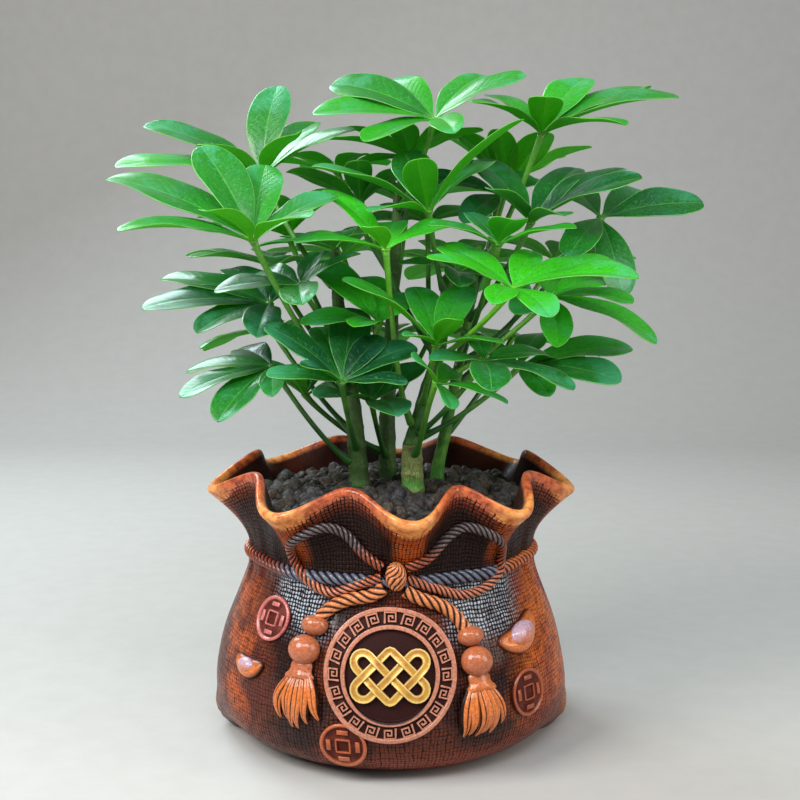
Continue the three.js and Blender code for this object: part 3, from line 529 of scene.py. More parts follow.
# The rope round the neck and the bow are cast with the pot: laid rope of four strands, glazed brown or
# orange with painted silvery reflections in places, and nearly black in the grooves. The bow's two loops and
# two tails lie on the wall and meet under a short oval knot.
BAND_ROPE = {"Radius": 3.05 * MM, "Lay_Length": 15 * MM, "Step": 0.7 * MM, "Sides": 32}
LOOP_ROPE = {"Radius": 2.25 * MM, "Lay_Length": 10.5 * MM, "Step": 0.5 * MM, "Sides": 24}
TAIL_ROPE = {"Radius": 3.0 * MM, "Lay_Length": 14 * MM, "Step": 0.5 * MM, "Sides": 28}
ROPE_STRANDS = 4
GROOVE_SHARE = 0.3
BAND_LIFT = -0.35
LOOP_LIFT = 1.3
TAIL_LIFT = 1.8
BOW_LINES = {
    "bow_loop_left": [(-3, 95), (-10, 101), (-17, 110), (-23, 112.5), (-30, 109), (-37, 101), (-37, 93),
                      (-31, 86), (-22, 82), (-13, 86), (-3, 90.5)],
    "bow_loop_right": [(6, 95.5), (13, 99), (21, 107.5), (28, 111.5), (36, 108), (44, 98), (45, 89),
                       (38, 82.5), (28, 80), (17, 84.5), (6, 90)],
    "bow_tail_left": [(-2, 86), (-7, 82), (-15, 79.5), (-21, 76), (-25, 71)],
    "bow_tail_right": [(5, 85), (11, 80.5), (18, 77), (23, 72), (26, 66)],
}
LINE_STEPS = 80
KNOT = (2, 92)
KNOT_SIZE = (8.8, 13.8, 3.2)
BEAD_SIDES = 48
BEAD_RINGS = 25
BEAD_TWIST = 1.1


def new_tree(name, sizes, counts=()):
    """A geometry tree whose named inputs are sizes, counts and a material, and their fields."""
    tree = bpy.data.node_groups.new(name, "GeometryNodeTree")
    kinds = {"Geometry": "Geometry", **dict.fromkeys(sizes, "Float"), **dict.fromkeys(counts, "Int")}
    for label, kind in {**kinds, "Material": "Material"}.items():
        tree.interface.new_socket(label, in_out="INPUT", socket_type="NodeSocket" + kind)
    tree.interface.new_socket("Geometry", in_out="OUTPUT", socket_type="NodeSocketGeometry")
    return tree, fields(tree, tree.nodes.new("NodeGroupInput").outputs)


def finish_tree(tree, geometry, material):
    """Every tree ends in real faces with a material on them."""
    real = field(tree, "GeometryNodeRealizeInstances", {"Geometry": geometry})
    painted = field(tree, "GeometryNodeSetMaterial", {"Geometry": real, "Material": material})
    node(tree, "NodeGroupOutput", {"Geometry": painted})
    return tree


def scaled(tree, vector, by):
    return field(tree, "ShaderNodeVectorMath", {0: vector, "Scale": by}, operation="SCALE")


def stored(tree, geometry, name, value, domain="POINT"):
    inputs = {"Geometry": geometry, "Name": name, "Value": value}
    return field(tree, "GeometryNodeStoreNamedAttribute", inputs, data_type="FLOAT", domain=domain)


def grown(tree, mesh, **values):
    """What a geometry tree makes of a mesh, as a plain mesh."""
    host = bpy.data.objects.new("host", mesh)
    bpy.context.scene.collection.objects.link(host)
    modifier = host.modifiers.new("grown", "NODES")
    modifier.node_group = tree
    for item in tree.interface.items_tree:
        key = item.name.replace(" ", "_")
        if item.in_out == "INPUT" and key in values:
            modifier[item.identifier] = values[key]
    made = bpy.data.meshes.new_from_object(host.evaluated_get(bpy.context.evaluated_depsgraph_get()))
    host.modifiers.remove(modifier)
    bpy.data.objects.remove(host)
    return made


def laid_rope_tree():
    """Lays a rope of twisted strands along the edges of a mesh, and keeps each point's groove depth."""
    tree, given = new_tree("laid_rope", ["Radius", "Lay Length", "Groove", "Step"], ["Strands", "Sides"])
    line = field(tree, "GeometryNodeMeshToCurve", {"Mesh": given["Geometry"]})
    line = field(tree, "GeometryNodeResampleCurve", {"Curve": line, "Length": given["Step"]}, mode="LENGTH")
    turns = maths("DIVIDE", field(tree, "GeometryNodeSplineParameter", output="Length"), given["Lay Length"])
    line = field(tree, "GeometryNodeSetCurveTilt", {"Curve": line, "Tilt": turns * (2 * math.pi)})
    ring = field(tree, "GeometryNodeCurvePrimitiveCircle",
                 {"Resolution": given["Sides"], "Radius": given["Radius"]})
    share = field(tree, "GeometryNodeSplineParameter", output="Factor")
    groove = 1.0 - abs(maths("SINE", share * given["Strands"] * math.pi))
    kept = node(tree, "GeometryNodeCaptureAttribute", {})
    kept.capture_items.new("FLOAT", "groove")
    kept = fields(tree, wired(kept, {"Geometry": ring, "groove": groove}).outputs)
    spot = scaled(tree, field(tree, "GeometryNodeInputPosition"), 1.0 - groove * given["Groove"])
    ring = field(tree, "GeometryNodeSetPosition", {"Geometry": kept["Geometry"], "Position": spot})
    rope = field(tree, "GeometryNodeCurveToMesh", {"Curve": line, "Profile Curve": ring, "Fill Caps": True})
    return finish_tree(tree, stored(tree, rope, "groove", kept["groove"]), given["Material"])


def smooth_route(places):
    """Points on a smooth curve through the places."""
    places = np.array(places, float)
    gaps = np.linalg.norm(np.diff(places, axis=0), axis=1) ** 0.5
    knots = np.concatenate([[0], np.cumsum(gaps)])
    slopes = np.gradient(places, knots, axis=0)
    return smooth_through(knots, places, slopes, np.linspace(0, knots[-1], LINE_STEPS))


def line_mesh(points, closed=False):
    mesh = bpy.data.meshes.new("line")
    steps = [(i, i + 1) for i in range(len(points) - 1)] + ([(len(points) - 1, 0)] if closed else [])
    mesh.from_pydata((np.asarray(points) * MM).tolist(), steps, [])
    return mesh


def glazed_relief(name, raised, hollow, source, low, high, mottle=0.3, **constants):
    """Rubbed glaze on relief, its height read from a mark; raised is a colour, or a function of x, y, z."""
    settings = {"Coat_Roughness": 0.12, "IOR": 1.45, "Specular_IOR_Level": 0.18, **constants}
    material, tree = new_material(name, **settings)
    height = attribute(tree, source)
    raised = raised(*object_place(tree).parts()) if callable(raised) else pigment(raised)
    rubbed = grouped(tree, rubbed_glaze, Raised_Colour=raised, Hollow_Colour=pigment(hollow), Mottle=mottle,
                     Height=height.ramp(low, high))
    return surfaced(material, rubbed["Colour"], rubbed["Roughness"], rubbed["Grain"], 0.5, 0.25,
                    Coat_Weight=height.ramp(low, high, 0.05, 0.75))


def neck_rope_colour(x, y, z):
    """Silvery grey inside the bow as a painted reflection, reddish brown on the left and orange on the
    right.
    """
    # Inside the bow the rope is painted silvery grey: a painted reflection.
    right = x.ramp(0.045, 0.056).mix((104, 108, 124), (210, 104, 38))
    left = x.ramp(-0.042, -0.055).mix(right, (134, 56, 36))
    return y.ramp(-0.03, 0.0).mix(left, (186, 88, 36))


def loop_rope_colour(x, y, z):
    """Grey glints along the tops of the loops, darker sides and lighter orange-pink undersides."""
    top = z.ramp(0.098, 0.106).mix((158, 70, 32), (98, 84, 82))
    return z.ramp(0.094, 0.084).mix(top, (206, 122, 90))


laid_rope = laid_rope_tree()
neck_rope_glaze = glazed_relief("neck_rope_glaze", neck_rope_colour, (13, 6, 6), "groove", 0.78, 0.12)
loop_rope_glaze = glazed_relief("loop_rope_glaze", loop_rope_colour, (15, 6, 5), "groove", 0.74, 0.1)
tail_rope_glaze = glazed_relief("tail_rope_glaze", (228, 138, 82), (34, 10, 7), "groove", 0.78, 0.12)


def rope(name, points, sizes, material, closed=False):
    """A laid rope along points, as a piece of the pot, with a whole number of lays in its length."""
    ends = np.vstack([points, points[:1]]) if closed else np.asarray(points)
    length = np.linalg.norm(np.diff(ends, axis=0), axis=1).sum() * MM
    lay = length / max(round(length / sizes["Lay_Length"]), 1)
    made = grown(laid_rope, line_mesh(points, closed), **{**sizes, "Lay_Length": lay}, Strands=ROPE_STRANDS,
                 Groove=GROOVE_SHARE, Material=material)
    finished(name, made, [], "pot")


neck_angles = np.arange(0, 360, 1.5)
rope("neck_rope", on_wall(neck_angles, BAND_Z * np.ones(len(neck_angles)), BAND_LIFT), BAND_ROPE,
     neck_rope_glaze, closed=True)
for name, places in BOW_LINES.items():
    angle, z = smooth_route(places).T
    if "loop" in name:
        rope(name, on_wall(angle, z, LOOP_LIFT), LOOP_ROPE, loop_rope_glaze)
    else:
        rope(name, on_wall(angle, z, TAIL_LIFT), TAIL_ROPE, tail_rope_glaze)


def bent(anchor, x, y, lift):
    """Flat relief laid on the wall round a place: x to the right, y up, lift outwards."""
    angle, z = anchor
    up = z + y * wall_slope(angle, z)[0]
    return on_wall(angle + np.degrees(x / wall_radius(angle, up)), up, lift)


def round_turn(sides):
    return np.linspace(0, 2 * np.pi, sides, endpoint=False)


def bead(place, size, strands=0, groove=0.0, blunt=2.0):
    """A bead round its upright axis on the wall, and how deep each point lies in its slanting grooves."""
    width, height, lift = size
    turn = round_turn(BEAD_SIDES)
    rings, depths = [], []
    for tilt in np.linspace(-np.pi / 2 + 0.06, np.pi / 2 - 0.06, BEAD_RINGS):
        depth = 1 - np.abs(np.sin(strands * (turn - BEAD_TWIST * tilt) / 2)) if strands else 0 * turn
        across = width / 2 * math.cos(tilt) ** (2 / blunt) * (1 - groove * depth)
        rise = height / 2 * math.sin(tilt) * np.ones(BEAD_SIDES)
        rings.append(bent(place, across * np.sin(turn), rise, lift + across * np.cos(turn)))
        depths.append(depth)
    return (*closed_skin(rings), np.concatenate([*depths, [1.0, 1.0]]))


points, faces, depths = bead(KNOT, KNOT_SIZE, strands=9, groove=0.16, blunt=2.6)
piece("bow_knot", (points, faces), [tail_rope_glaze], groove=depths)

# Each tail ends in a tassel, modelled on the pot: a small bead, a big bead, a cuff that flares into two
# lobes, and a skirt of thick threads that swing outwards. They are glazed a light orange-brown.
# Each is given by its angle, its top, how far its big bead hangs aside, and a seed.
TASSELS = {"tassel_left": (-26, 68, -2, 5), "tassel_right": (27, 63.5, 0.5, 8)}
TASSEL_STEP = 10
SMALL_BEAD = (11.8, 8.8, 1.8)
BIG_BEAD = (13.8, 12.8, 2.4)
CUFF_ROWS = [(3.6, 2.2, -4.6), (5, 3.2, -5.4), (5.5, 3.5, -6.6), (5.5, 3.5, -8.6), (5.8, 3.7, -9.6),
             (6.8, 4.4, -10.6), (7, 4.5, -11.6), (6.6, 4, -12.6), (5.2, 3, -13)]
THREADS = 6
THREAD_FROM = -10.6
THREAD_LENGTH = 22.8
THREAD_STEPS = 20
SKIRT_TOP_HALF = 3.8
SKIRT_HALF = 9.8
SKIRT_LEAN = 2.4
TIP_CURL = 2.2
STRAND_SIDES = 24
STRAND_PARTS = 6


def tube(points, radii, sides):
    """Closed skin of a round thread along points."""
    along = np.gradient(points, axis=0)
    along /= np.linalg.norm(along, axis=1)[:, None]
    side = np.cross(along, [0.0, 0.0, 1.0])
    weak = np.linalg.norm(side, axis=1) < 0.2
    side[weak] = np.cross(along[weak], [0.0, 1.0, 0.0])
    side /= np.linalg.norm(side, axis=1)[:, None]
    for k in range(1, len(side)):
        side[k] = side[k - 1] - along[k] * (side[k - 1] @ along[k])
        side[k] /= np.linalg.norm(side[k])
    up = np.cross(side, along)
    turn = round_turn(sides)[:, None]
    return closed_skin([c + r * (np.cos(turn) * s + np.sin(turn) * u)
                        for c, r, s, u in zip(points, radii, side, up)])


def joined_skins(skins):
    """One skin out of several, with each kind of mark that they carry in one row."""
    faces, first = [], 0
    for points, sides, *_ in skins:
        faces += [tuple(i + first for i in face) for face in sides]
        first += len(points)
    points, _, *marks = zip(*skins)
    return np.vstack(points), faces, *[np.concatenate(values) for values in marks]


def wall_lift(points):
    """How far points stand out from the plain wall, in mm."""
    angle = np.degrees(np.arctan2(points[:, 0], -points[:, 1]))
    return np.hypot(points[:, 0], points[:, 1]) - wall_radius(angle, points[:, 2])


def lifted(skin, low, high):
    """A skin with how far each of its points stands out, from 0 below low to 1 above high."""
    return skin[0], skin[1], smoothstep(wall_lift(skin[0]), low, high)


def cuff(place, lean):
    """The flared cuff, its front parted into two lobes."""
    turn = round_turn(BEAD_SIDES)
    rings = []
    for half, depth, y in CUFF_ROWS:
        flare = float(smoothstep(-y, 7.0, 12.0))
        lobes = 1 + 0.14 * flare * (np.abs(np.cos(turn)) - 0.6) + 0.05 * flare * np.sin(6 * turn)
        sag = -1.1 * flare * (np.abs(np.cos(turn)) ** 1.5 - 0.5)
        rings.append(bent(place, half * lobes * np.cos(turn) + lean * (-y - 4) * 0.12, y + sag,
                          1.0 + depth * lobes * np.sin(turn)))
    return lifted(closed_skin(rings), 1.2, 3.6)


def thread(place, share, lean, rng):
    """One thick thread of the skirt, from inside the cuff to its end on the wall, and how far out it is."""
    t = np.linspace(0, 1, THREAD_STEPS)
    widening = SKIRT_HALF + rng.uniform(-0.8, 0.8) - SKIRT_TOP_HALF
    spread = SKIRT_TOP_HALF + widening * np.sin(np.pi * t * 0.54) ** 1.1
    swing = 1.5 * np.sin(np.pi * t * 1.3 + 2.2 * share) - TIP_CURL * t**4 * math.copysign(1, lean)
    x = share * spread + lean * SKIRT_LEAN * t**1.7 + swing * t
    y = THREAD_FROM - (THREAD_LENGTH + rng.uniform(-2.6, 1.2) - 2.4 * share * share) * t
    lift = 1.4 + 2.5 * np.sin(np.pi * np.clip(t * 0.92 + 0.05, 0, 1)) * (1 - 0.5 * share * share)
    lift = lift + rng.uniform(-0.35, 0.35)
    radius = (0.9 + 1.7 * np.sin(np.pi * np.clip(t * 0.75 + 0.12, 0, 1))) * (1 - 0.62 * t**5)
    route = bent(place, x, y, lift)
    points, faces = tube(route, radius, STRAND_SIDES)
    middle = np.append(np.repeat(np.arange(THREAD_STEPS), STRAND_SIDES), [0, THREAD_STEPS - 1])
    crest = smoothstep((wall_lift(points) - lift[middle]) / radius[middle], 0.1, 0.9)
    turn = np.append(np.tile(np.arange(STRAND_SIDES), THREAD_STEPS) * 2 * np.pi / STRAND_SIDES, [0, 0])
    parting = np.abs(np.sin(STRAND_PARTS / 2 * turn + rng.uniform(0, 3))) ** 0.7
    points = route[middle] + (points - route[middle]) * (0.78 + 0.3 * parting)[:, None]
    return points, faces, crest * smoothstep(parting, 0.1, 0.8)


def tassel(name, angle, top, lean, seed):
    rng = np.random.default_rng(seed)
    hand = math.copysign(1, angle)
    below = (angle + lean, top - TASSEL_STEP)
    skins = [lifted(bead((angle, top), SMALL_BEAD), 0.2, 2.4), lifted(bead(below, BIG_BEAD), 0.2, 2.4),
             cuff(below, hand)]
    skins += [thread(below, share, hand * 0.8, rng) for share in np.linspace(-1, 1, THREADS)]
    *skin, crest = joined_skins(skins)
    piece(name, skin, [tassel_glaze], crest=crest)


def tassel_colour(x, y, z):
    """Browner beads above, and brighter orange threads below."""
    return z.ramp(0.05, 0.042).mix((192, 108, 70), (224, 122, 56))


tassel_glaze = glazed_relief("tassel_glaze", tassel_colour, (26, 8, 5), "crest", 0.1, 0.8, mottle=0.4)
for name, row in TASSELS.items():
    tassel(name, *row)

# A round medallion on the front: an outer and an inner hoop, a meander border between them, and an
# endless knot on a nearly black field. The hoops and the meander are pinkish orange and the knot is gilt.
MEDALLION = (0, 50)
MEDALLION_R = 28.5
FIELD_R = 20.5
BORDER_LIFT = 1.0
HOOP_LIFT = 2.2
KEYS = 20
KEY_HALF = 2.3
KEY_WIDTH = 0.85
KEY_LIFT = 0.62
DISC_SIDES = 180
KEY_LINE = [(-1, -1), (-1, 1), (1, 1), (1, -0.62), (-0.28, -0.62), (-0.28, 0.34), (0.42, 0.34), (0.42, -0.1)]
STRAND_PITCH = 8
STRAND_REACH = 12
STRAND_HALF = 1.75
STRAND_LIFT = 2.45
STRAND_RISE = 0.55
STRAND_STEPS = 31
HALF_TURN_STEPS = 8
STRAND_SECTION = [(-1, -3.6), (-1, -0.5), (-0.9, 0.05), (-0.74, 0.12), (-0.5, -0.15), (0, -0.22),
                  (0.5, -0.15), (0.74, 0.12), (0.9, 0.05), (1, -0.5), (1, -3.6)]


def rounded_rows(rows, cut=0.35):
    """A turned outline with its corners cut round."""
    rows = np.array(rows, float)
    out = [rows[0]]
    for before, here, after in zip(rows, rows[1:], rows[2:]):
        for share in (1.0, 0.42):
            out.append(here + (before - here) * min(cut * share / np.linalg.norm(before - here), 0.5))
        for share in (0.42, 1.0):
            out.append(here + (after - here) * min(cut * share / np.linalg.norm(after - here), 0.5))
    return np.array([*out, rows[-1]])


def disc(place, rows, turn):
    """Rows of (reach, lift, squareness) bent over the wall, round at 0 and square at 1."""
    square = 1 / np.maximum(np.abs(np.cos(turn)), np.abs(np.sin(turn)))
    rings = []
    for reach, lift, share in rows:
        r = reach * (1 + share * (square - 1))
        rings.append(bent(place, r * np.cos(turn), r * np.sin(turn), lift))
    return closed_skin(rings)


def meander_tree():
    """One line of a meander key, given a square section and repeated round a ring, laid flat."""
    tree, given = new_tree("meander_ring", ["Ring Radius", "Line Width"], ["Count"])
    line = field(tree, "GeometryNodeMeshToCurve", {"Mesh": given["Geometry"]})
    section = field(tree, "GeometryNodeCurvePrimitiveQuadrilateral",
                    {"Width": given["Line Width"], "Height": given["Line Width"]})
    key = field(tree, "GeometryNodeCurveToMesh",
                {"Curve": line, "Profile Curve": section, "Fill Caps": True})
    ring = field(tree, "GeometryNodeMeshCircle",
                 {"Vertices": given["Count"], "Radius": given["Ring Radius"]})
    turned = field(tree, "FunctionNodeAlignRotationToVector",
                   {"Vector": field(tree, "GeometryNodeInputPosition")}, axis="Y")
    keys = field(tree, "GeometryNodeInstanceOnPoints", {"Points": ring, "Instance": key, "Rotation": turned})
    return finish_tree(tree, keys, given["Material"])


def straight(a, b):
    return [tuple(np.array(a) + (np.array(b) - a) * s) for s in np.linspace(0, 1, STRAND_STEPS)]


def knot_route():
    """The endless knot's one closed line, as (x, y) places."""
    p, r = STRAND_PITCH, STRAND_REACH

    def half_turn(x, y, start, sign):
        turns = np.radians(start + sign * np.linspace(20, 160, HALF_TURN_STEPS))
        return [(x + p / 2 * math.cos(t), y + p / 2 * math.sin(t)) for t in turns]

    route = straight((p - 1.5, p), (-r, p)) + half_turn(-r, p / 2, 90, 1) + straight((-r, 0), (r, 0))
    route += half_turn(r, -p / 2, 90, -1) + straight((r, -p), (1.5 - p, -p)) + [(0.45 - p, 0.45 - p)]
    route += straight((-p, 1.5 - p), (-p, r)) + half_turn(-p / 2, r, 180, -1) + straight((0, r), (0, -r))
    route += half_turn(p / 2, -r, 180, 1) + straight((p, -r), (p, p - 1.5)) + [(p - 0.45, p - 0.45)]
    return np.array(route)


def weave_height(x, y, level):
    """1 where the strand passes over the crossing at hand, -1 where it passes under."""
    column, row = np.round(x / STRAND_PITCH), np.round(y / STRAND_PITCH)
    inside = (abs(column) <= 1) & (abs(row) <= 1)
    near = np.exp(-(((x - column * STRAND_PITCH) ** 2 + (y - row * STRAND_PITCH) ** 2) / 7.5))
    even = (column + row) % 2 == 0
    corner = (column == row) & (column != 0)
    return np.where(inside & ~corner, np.where(even == level, 1, -1) * near, 0)


def gilt_knot():
    route, section = knot_route(), np.array(STRAND_SECTION)
    ahead = np.roll(route, -1, 0) - np.roll(route, 1, 0)
    ahead /= np.linalg.norm(ahead, axis=1)[:, None]
    weave = weave_height(route[:, 0], route[:, 1], np.abs(ahead[:, 0]) > np.abs(ahead[:, 1]))
    rings = []
    for spot, across, rise in zip(route, np.column_stack([-ahead[:, 1], ahead[:, 0]]), weave):
        x, y = (spot + section[:, :1] * STRAND_HALF * across).T
        lift = STRAND_LIFT + STRAND_RISE * rise + section[:, 1]
        rings.append(bent(MEDALLION, (x - y) * math.sqrt(0.5), (x + y) * math.sqrt(0.5), lift))
    piece("gilt_knot", closed_skin(rings, joined=True), [gilt], sharp=50,
          edge=np.tile(section[:, 1], len(route)))


def medallion():
    top = HOOP_LIFT + 0.1
    rows = [(MEDALLION_R + 0.3, -1.2, 0), (MEDALLION_R, top, 0), (MEDALLION_R - 1.7, top, 0),
            (MEDALLION_R - 2, BORDER_LIFT, 0), (FIELD_R + 0.8, BORDER_LIFT, 0),
            (FIELD_R + 0.5, HOOP_LIFT, 0), (FIELD_R - 1.1, HOOP_LIFT, 0), (FIELD_R - 1.5, 0.3, 0),
            (12, 0.25, 0), (2, 0.3, 0)]
    skin = disc(MEDALLION, rounded_rows(rows), round_turn(DISC_SIDES))
    piece("medallion", skin, [medallion_glaze], sharp=60, rise=wall_lift(skin[0]))
    line = line_mesh([(KEY_HALF * x, KEY_HALF * y, 0) for x, y in KEY_LINE])
    middle = (MEDALLION_R + FIELD_R) / 2 - 0.5
    keys = grown(meander_tree(), line, Count=KEYS, Ring_Radius=middle * MM, Line_Width=KEY_WIDTH * MM,
                 Material=medallion_glaze)
    x, y, up = np.array([v.co for v in keys.vertices]).T / MM
    spots = (bent(MEDALLION, x, y, BORDER_LIFT + KEY_LIFT + up) * MM).astype(np.float32)
    keys.vertices.foreach_set("co", spots.ravel())
    mark(keys, rise=wall_lift(np.array([v.co for v in keys.vertices]) / MM))
    finished("meander_border", keys, [], "pot", sharp=35)


def gilt_paint():
    """Worn gold paint, paler on its raised edges, with painted shadow down the strand's sides."""
    material, tree = new_material("gilt", Coat_Weight=0.2, Coat_Roughness=0.25)
    place, edge = object_place(tree), attribute(tree, "edge")
    patch, fine = place.noise(190.0, 4.0, 0.6), place.noise(900.0, 3.0, 0.6)
    gold = patch.ramp(0.35, 0.7).mix((212, 160, 66), (170, 110, 38))
    gold = (edge.ramp(-0.2, 0.05) * 0.8).mix(gold, (232, 206, 128))
    # Painted shadow: dark brown down the sides of the strand.
    gold = edge.ramp(-0.5, -1.6).mix(gold, (92, 50, 20))
    return surfaced(material, gold, fine.ramp(0.3, 0.75, 0.3, 0.5), fine, 0.4, 0.2,
                    Metallic=patch.ramp(0.3, 0.7, 0.45, 0.2))


def medallion_colour(x, y, z):
    """Pinkish orange, with the field inside the hoops nearly black."""
    up = z - MEDALLION[1] * MM
    return maths("SQRT", x * x + up * up).ramp(0.0196, 0.0188).mix((198, 130, 104), (11, 5, 4))


medallion_glaze = glazed_relief("medallion_glaze", medallion_colour, (42, 11, 8), "rise", 1.15, 2.05)
gilt = gilt_paint()
medallion()
gilt_knot()

# Three coins and two boat-shaped ingots stand out of the cloth round the medallion. The coins have a
# raised rim, a square hole and plain bars; the ingots have two horns and a glossy hump. Each is given by
# its angle, its height and its radius or half length, and an ingot by its tilt too.
COINS = [(-45, 67, 10.3), (-14, 20, 10.5), (47, 35, 10.6)]
COIN_HOLE = 2.5
COIN_SIDES = 64
INGOTS = [(-51, 44, 10, 0), (49, 58, 14.5, 18)]
HORN_RISE = 0.32
BOAT_SECTIONS = 33
BOAT_POINTS = 15
SUNK = -1.2
HUMP_SIDES = 32
HUMP_TIPS = np.linspace(0.08, np.pi - 0.08, 15)


def bar(place, x, y, width, height):
    """A small raised bar with a chamfered top, bent over the wall."""
    rings = []
    for lift, cut in ((0.4, 0), (1.55, 0), (1.75, 0.2)):
        half, tall = width / 2 - cut, height / 2 - cut
        corners = np.array([(-half, -tall), (half, -tall), (half, tall), (-half, tall)])
        rings.append(bent(place, x + corners[:, 0], y + corners[:, 1], lift))
    return closed_skin(rings)


def coin(name, angle, z, r):
    place, hole = (angle, z), COIN_HOLE
    rows = [(r + 0.2, SUNK, 0), (r, 0.9, 0), (r - 0.2, 1.8, 0), (r - 0.7, 2.1, 0), (r - 1.3, 1.9, 0),
            (r - 1.8, 1.15, 0), (r - 2.3, 1.05, 0), (hole + 1.2, 1.05, 0.8), (hole + 0.8, 1.7, 0.9),
            (hole + 0.2, 1.7, 1), (hole, 0.7, 1), (0.4, 0.65, 1)]
    middle = (hole + 1 + r - 2) / 2 + 0.4
    long, thin = (r - 2.4) * 0.62, (r - hole - 3.6) * 0.34 + 0.5
    skins = [disc(place, rows, round_turn(COIN_SIDES) + np.pi / COIN_SIDES)]
    skins += [bar(place, 0, side * middle, long, thin) for side in (1, -1)]
    skins += [bar(place, side * middle, 0, thin, long) for side in (1, -1)]
    skin = joined_skins(skins)
    piece(name, skin, [coin_glaze], sharp=50, rise=wall_lift(skin[0]))


def ingot(name, angle, z, half, tilt):
    """A boat with two horns, and a smooth hump in its middle."""
    cosine, sine = math.cos(math.radians(tilt)), math.sin(math.radians(tilt))

    def laid(x, y, lift):
        return bent((angle, z), x * cosine - y * sine, x * sine + y * cosine, lift)

    boat, dome = [], []
    section, flat = np.linspace(-1, 1, BOAT_POINTS), np.ones(BOAT_POINTS)
    for s in np.linspace(-1, 1, BOAT_SECTIONS):
        end = math.sqrt(max(1 - abs(s) ** 9, 0.02))
        deep = half * (0.48 - 0.26 * s * s) * end
        thick = (3 - 1.6 * s * s) * end
        dish = 1.2 * np.exp(-((section - 0.35) ** 2) / 0.1) * (1 - s * s)
        lift = thick * (1 - section**4) + 0.8 * (1 - section**2) - dish
        x, y = s * half * flat, HORN_RISE * half * s * s + deep * section
        boat.append(laid(np.r_[x, x[::-1]], np.r_[y, y[::-1]], np.r_[lift, SUNK * flat]))
    turn = round_turn(HUMP_SIDES)
    for tip in HUMP_TIPS:
        across = math.sin(tip)
        dome.append(laid(half * 0.54 * across * np.cos(turn), half * (0.14 + 0.34 * across * np.sin(turn)),
                         2.0 + 0.3 * half * math.cos(tip) * np.ones(HUMP_SIDES)))
    boat, dome = closed_skin(boat), closed_skin(dome)
    lit = np.append(np.outer(np.sin(HUMP_TIPS), np.sin(turn)), [0, 0])
    skin = joined_skins([(*boat, np.zeros(len(boat[0]))), (*dome, smoothstep(lit, -0.7, 0.5))])
    piece(name, skin, [ingot_glaze], rise=wall_lift(skin[0]), hump=skin[2])


def ingot_colour(x, y, z):
    """An orange boat with a violet-white sheen on its hump."""
    return (attribute(x.tree, "hump") * 0.8).mix((218, 118, 52), (190, 172, 196))


def coin_colour(x, y, z):
    """Pinkish on the left coin, browner on the right one and orange-brown on the lower one."""
    lower = x.ramp(-0.034, -0.042).mix((196, 100, 56), (206, 116, 108))
    return x.ramp(0.0, 0.03).mix(lower, (172, 84, 44))


coin_glaze = glazed_relief("coin_glaze", coin_colour, (74, 24, 16), "rise", 1.0, 2.0, mottle=0.9)
ingot_glaze = glazed_relief("ingot_glaze", ingot_colour, (50, 15, 10), "rise", 0.5, 3.2, Coat_Roughness=0.06)
for number, row in enumerate(COINS, 1):
    coin(f"coin_{number}", *row)
for number, row in enumerate(INGOTS, 1):
    ingot(f"ingot_{number}", *row)

# The pot is filled with coarse dark potting grit, moist baked-clay grains of 4 to 12 mm over a low mound.
# The grains are scattered over the mound and pressed a little into it.
SOIL_EDGE_Z = 111
SOIL_CROWN_Z = 116.5
SOIL_FOOT_SHARE = 0.2
GAP = 0.35
GRAINS = {"Density": 120000.0, "Spacing": 3.5 * MM, "Smallest": 4.2 * MM, "Largest": 12.0 * MM, "Seed": 4}
GRAIN_TURN = (6.28, 6.28, 6.28)
GRAIN_LEAST = (0.75, 0.75, 0.6)
GRAIN_MOST = (1.2, 1.0, 0.95)
PIT_DEPTH = 6.5 * MM
SOIL_STEP = 3.0
BED_RINGS = 26
GRAIN_RINGS = 20


def soil_edge(angles):
    low, high = np.full(len(angles), float(FLARE_Z)), rim_height(angles)
    for _ in range(24):
        middle = (low + high) / 2
        above = inner_wall(angles, middle, GAP)[:, 2] > SOIL_EDGE_Z
        low, high = np.where(above, low, middle), np.where(above, middle, high)
    return inner_wall(angles, (low + high) / 2, 3 * GAP)


def soil_top(share, edge):
    """The mound at a share of the way from its middle to its edge."""
    angle = np.arctan2(edge[:, 1], edge[:, 0])
    lump = 0.9 * np.sin(5 * angle + 9 * share) * np.cos(3 * angle - 7 * share) * share
    lump = lump + 0.5 * np.sin(13 * angle - 21 * share)
    z = SOIL_EDGE_Z + (SOIL_CROWN_Z - SOIL_EDGE_Z) * (1 - share * share) + lump
    return np.column_stack([edge[:, 0] * share, edge[:, 1] * share, z])


def random_value(tree, **limits):
    return field(tree, "FunctionNodeRandomValue", limits, data_type="FLOAT_VECTOR")


def random_share(tree, seed):
    return field(tree, "FunctionNodeRandomValue", {2: 0.0, 3: 1.0, "Seed": seed}, 1, data_type="FLOAT")


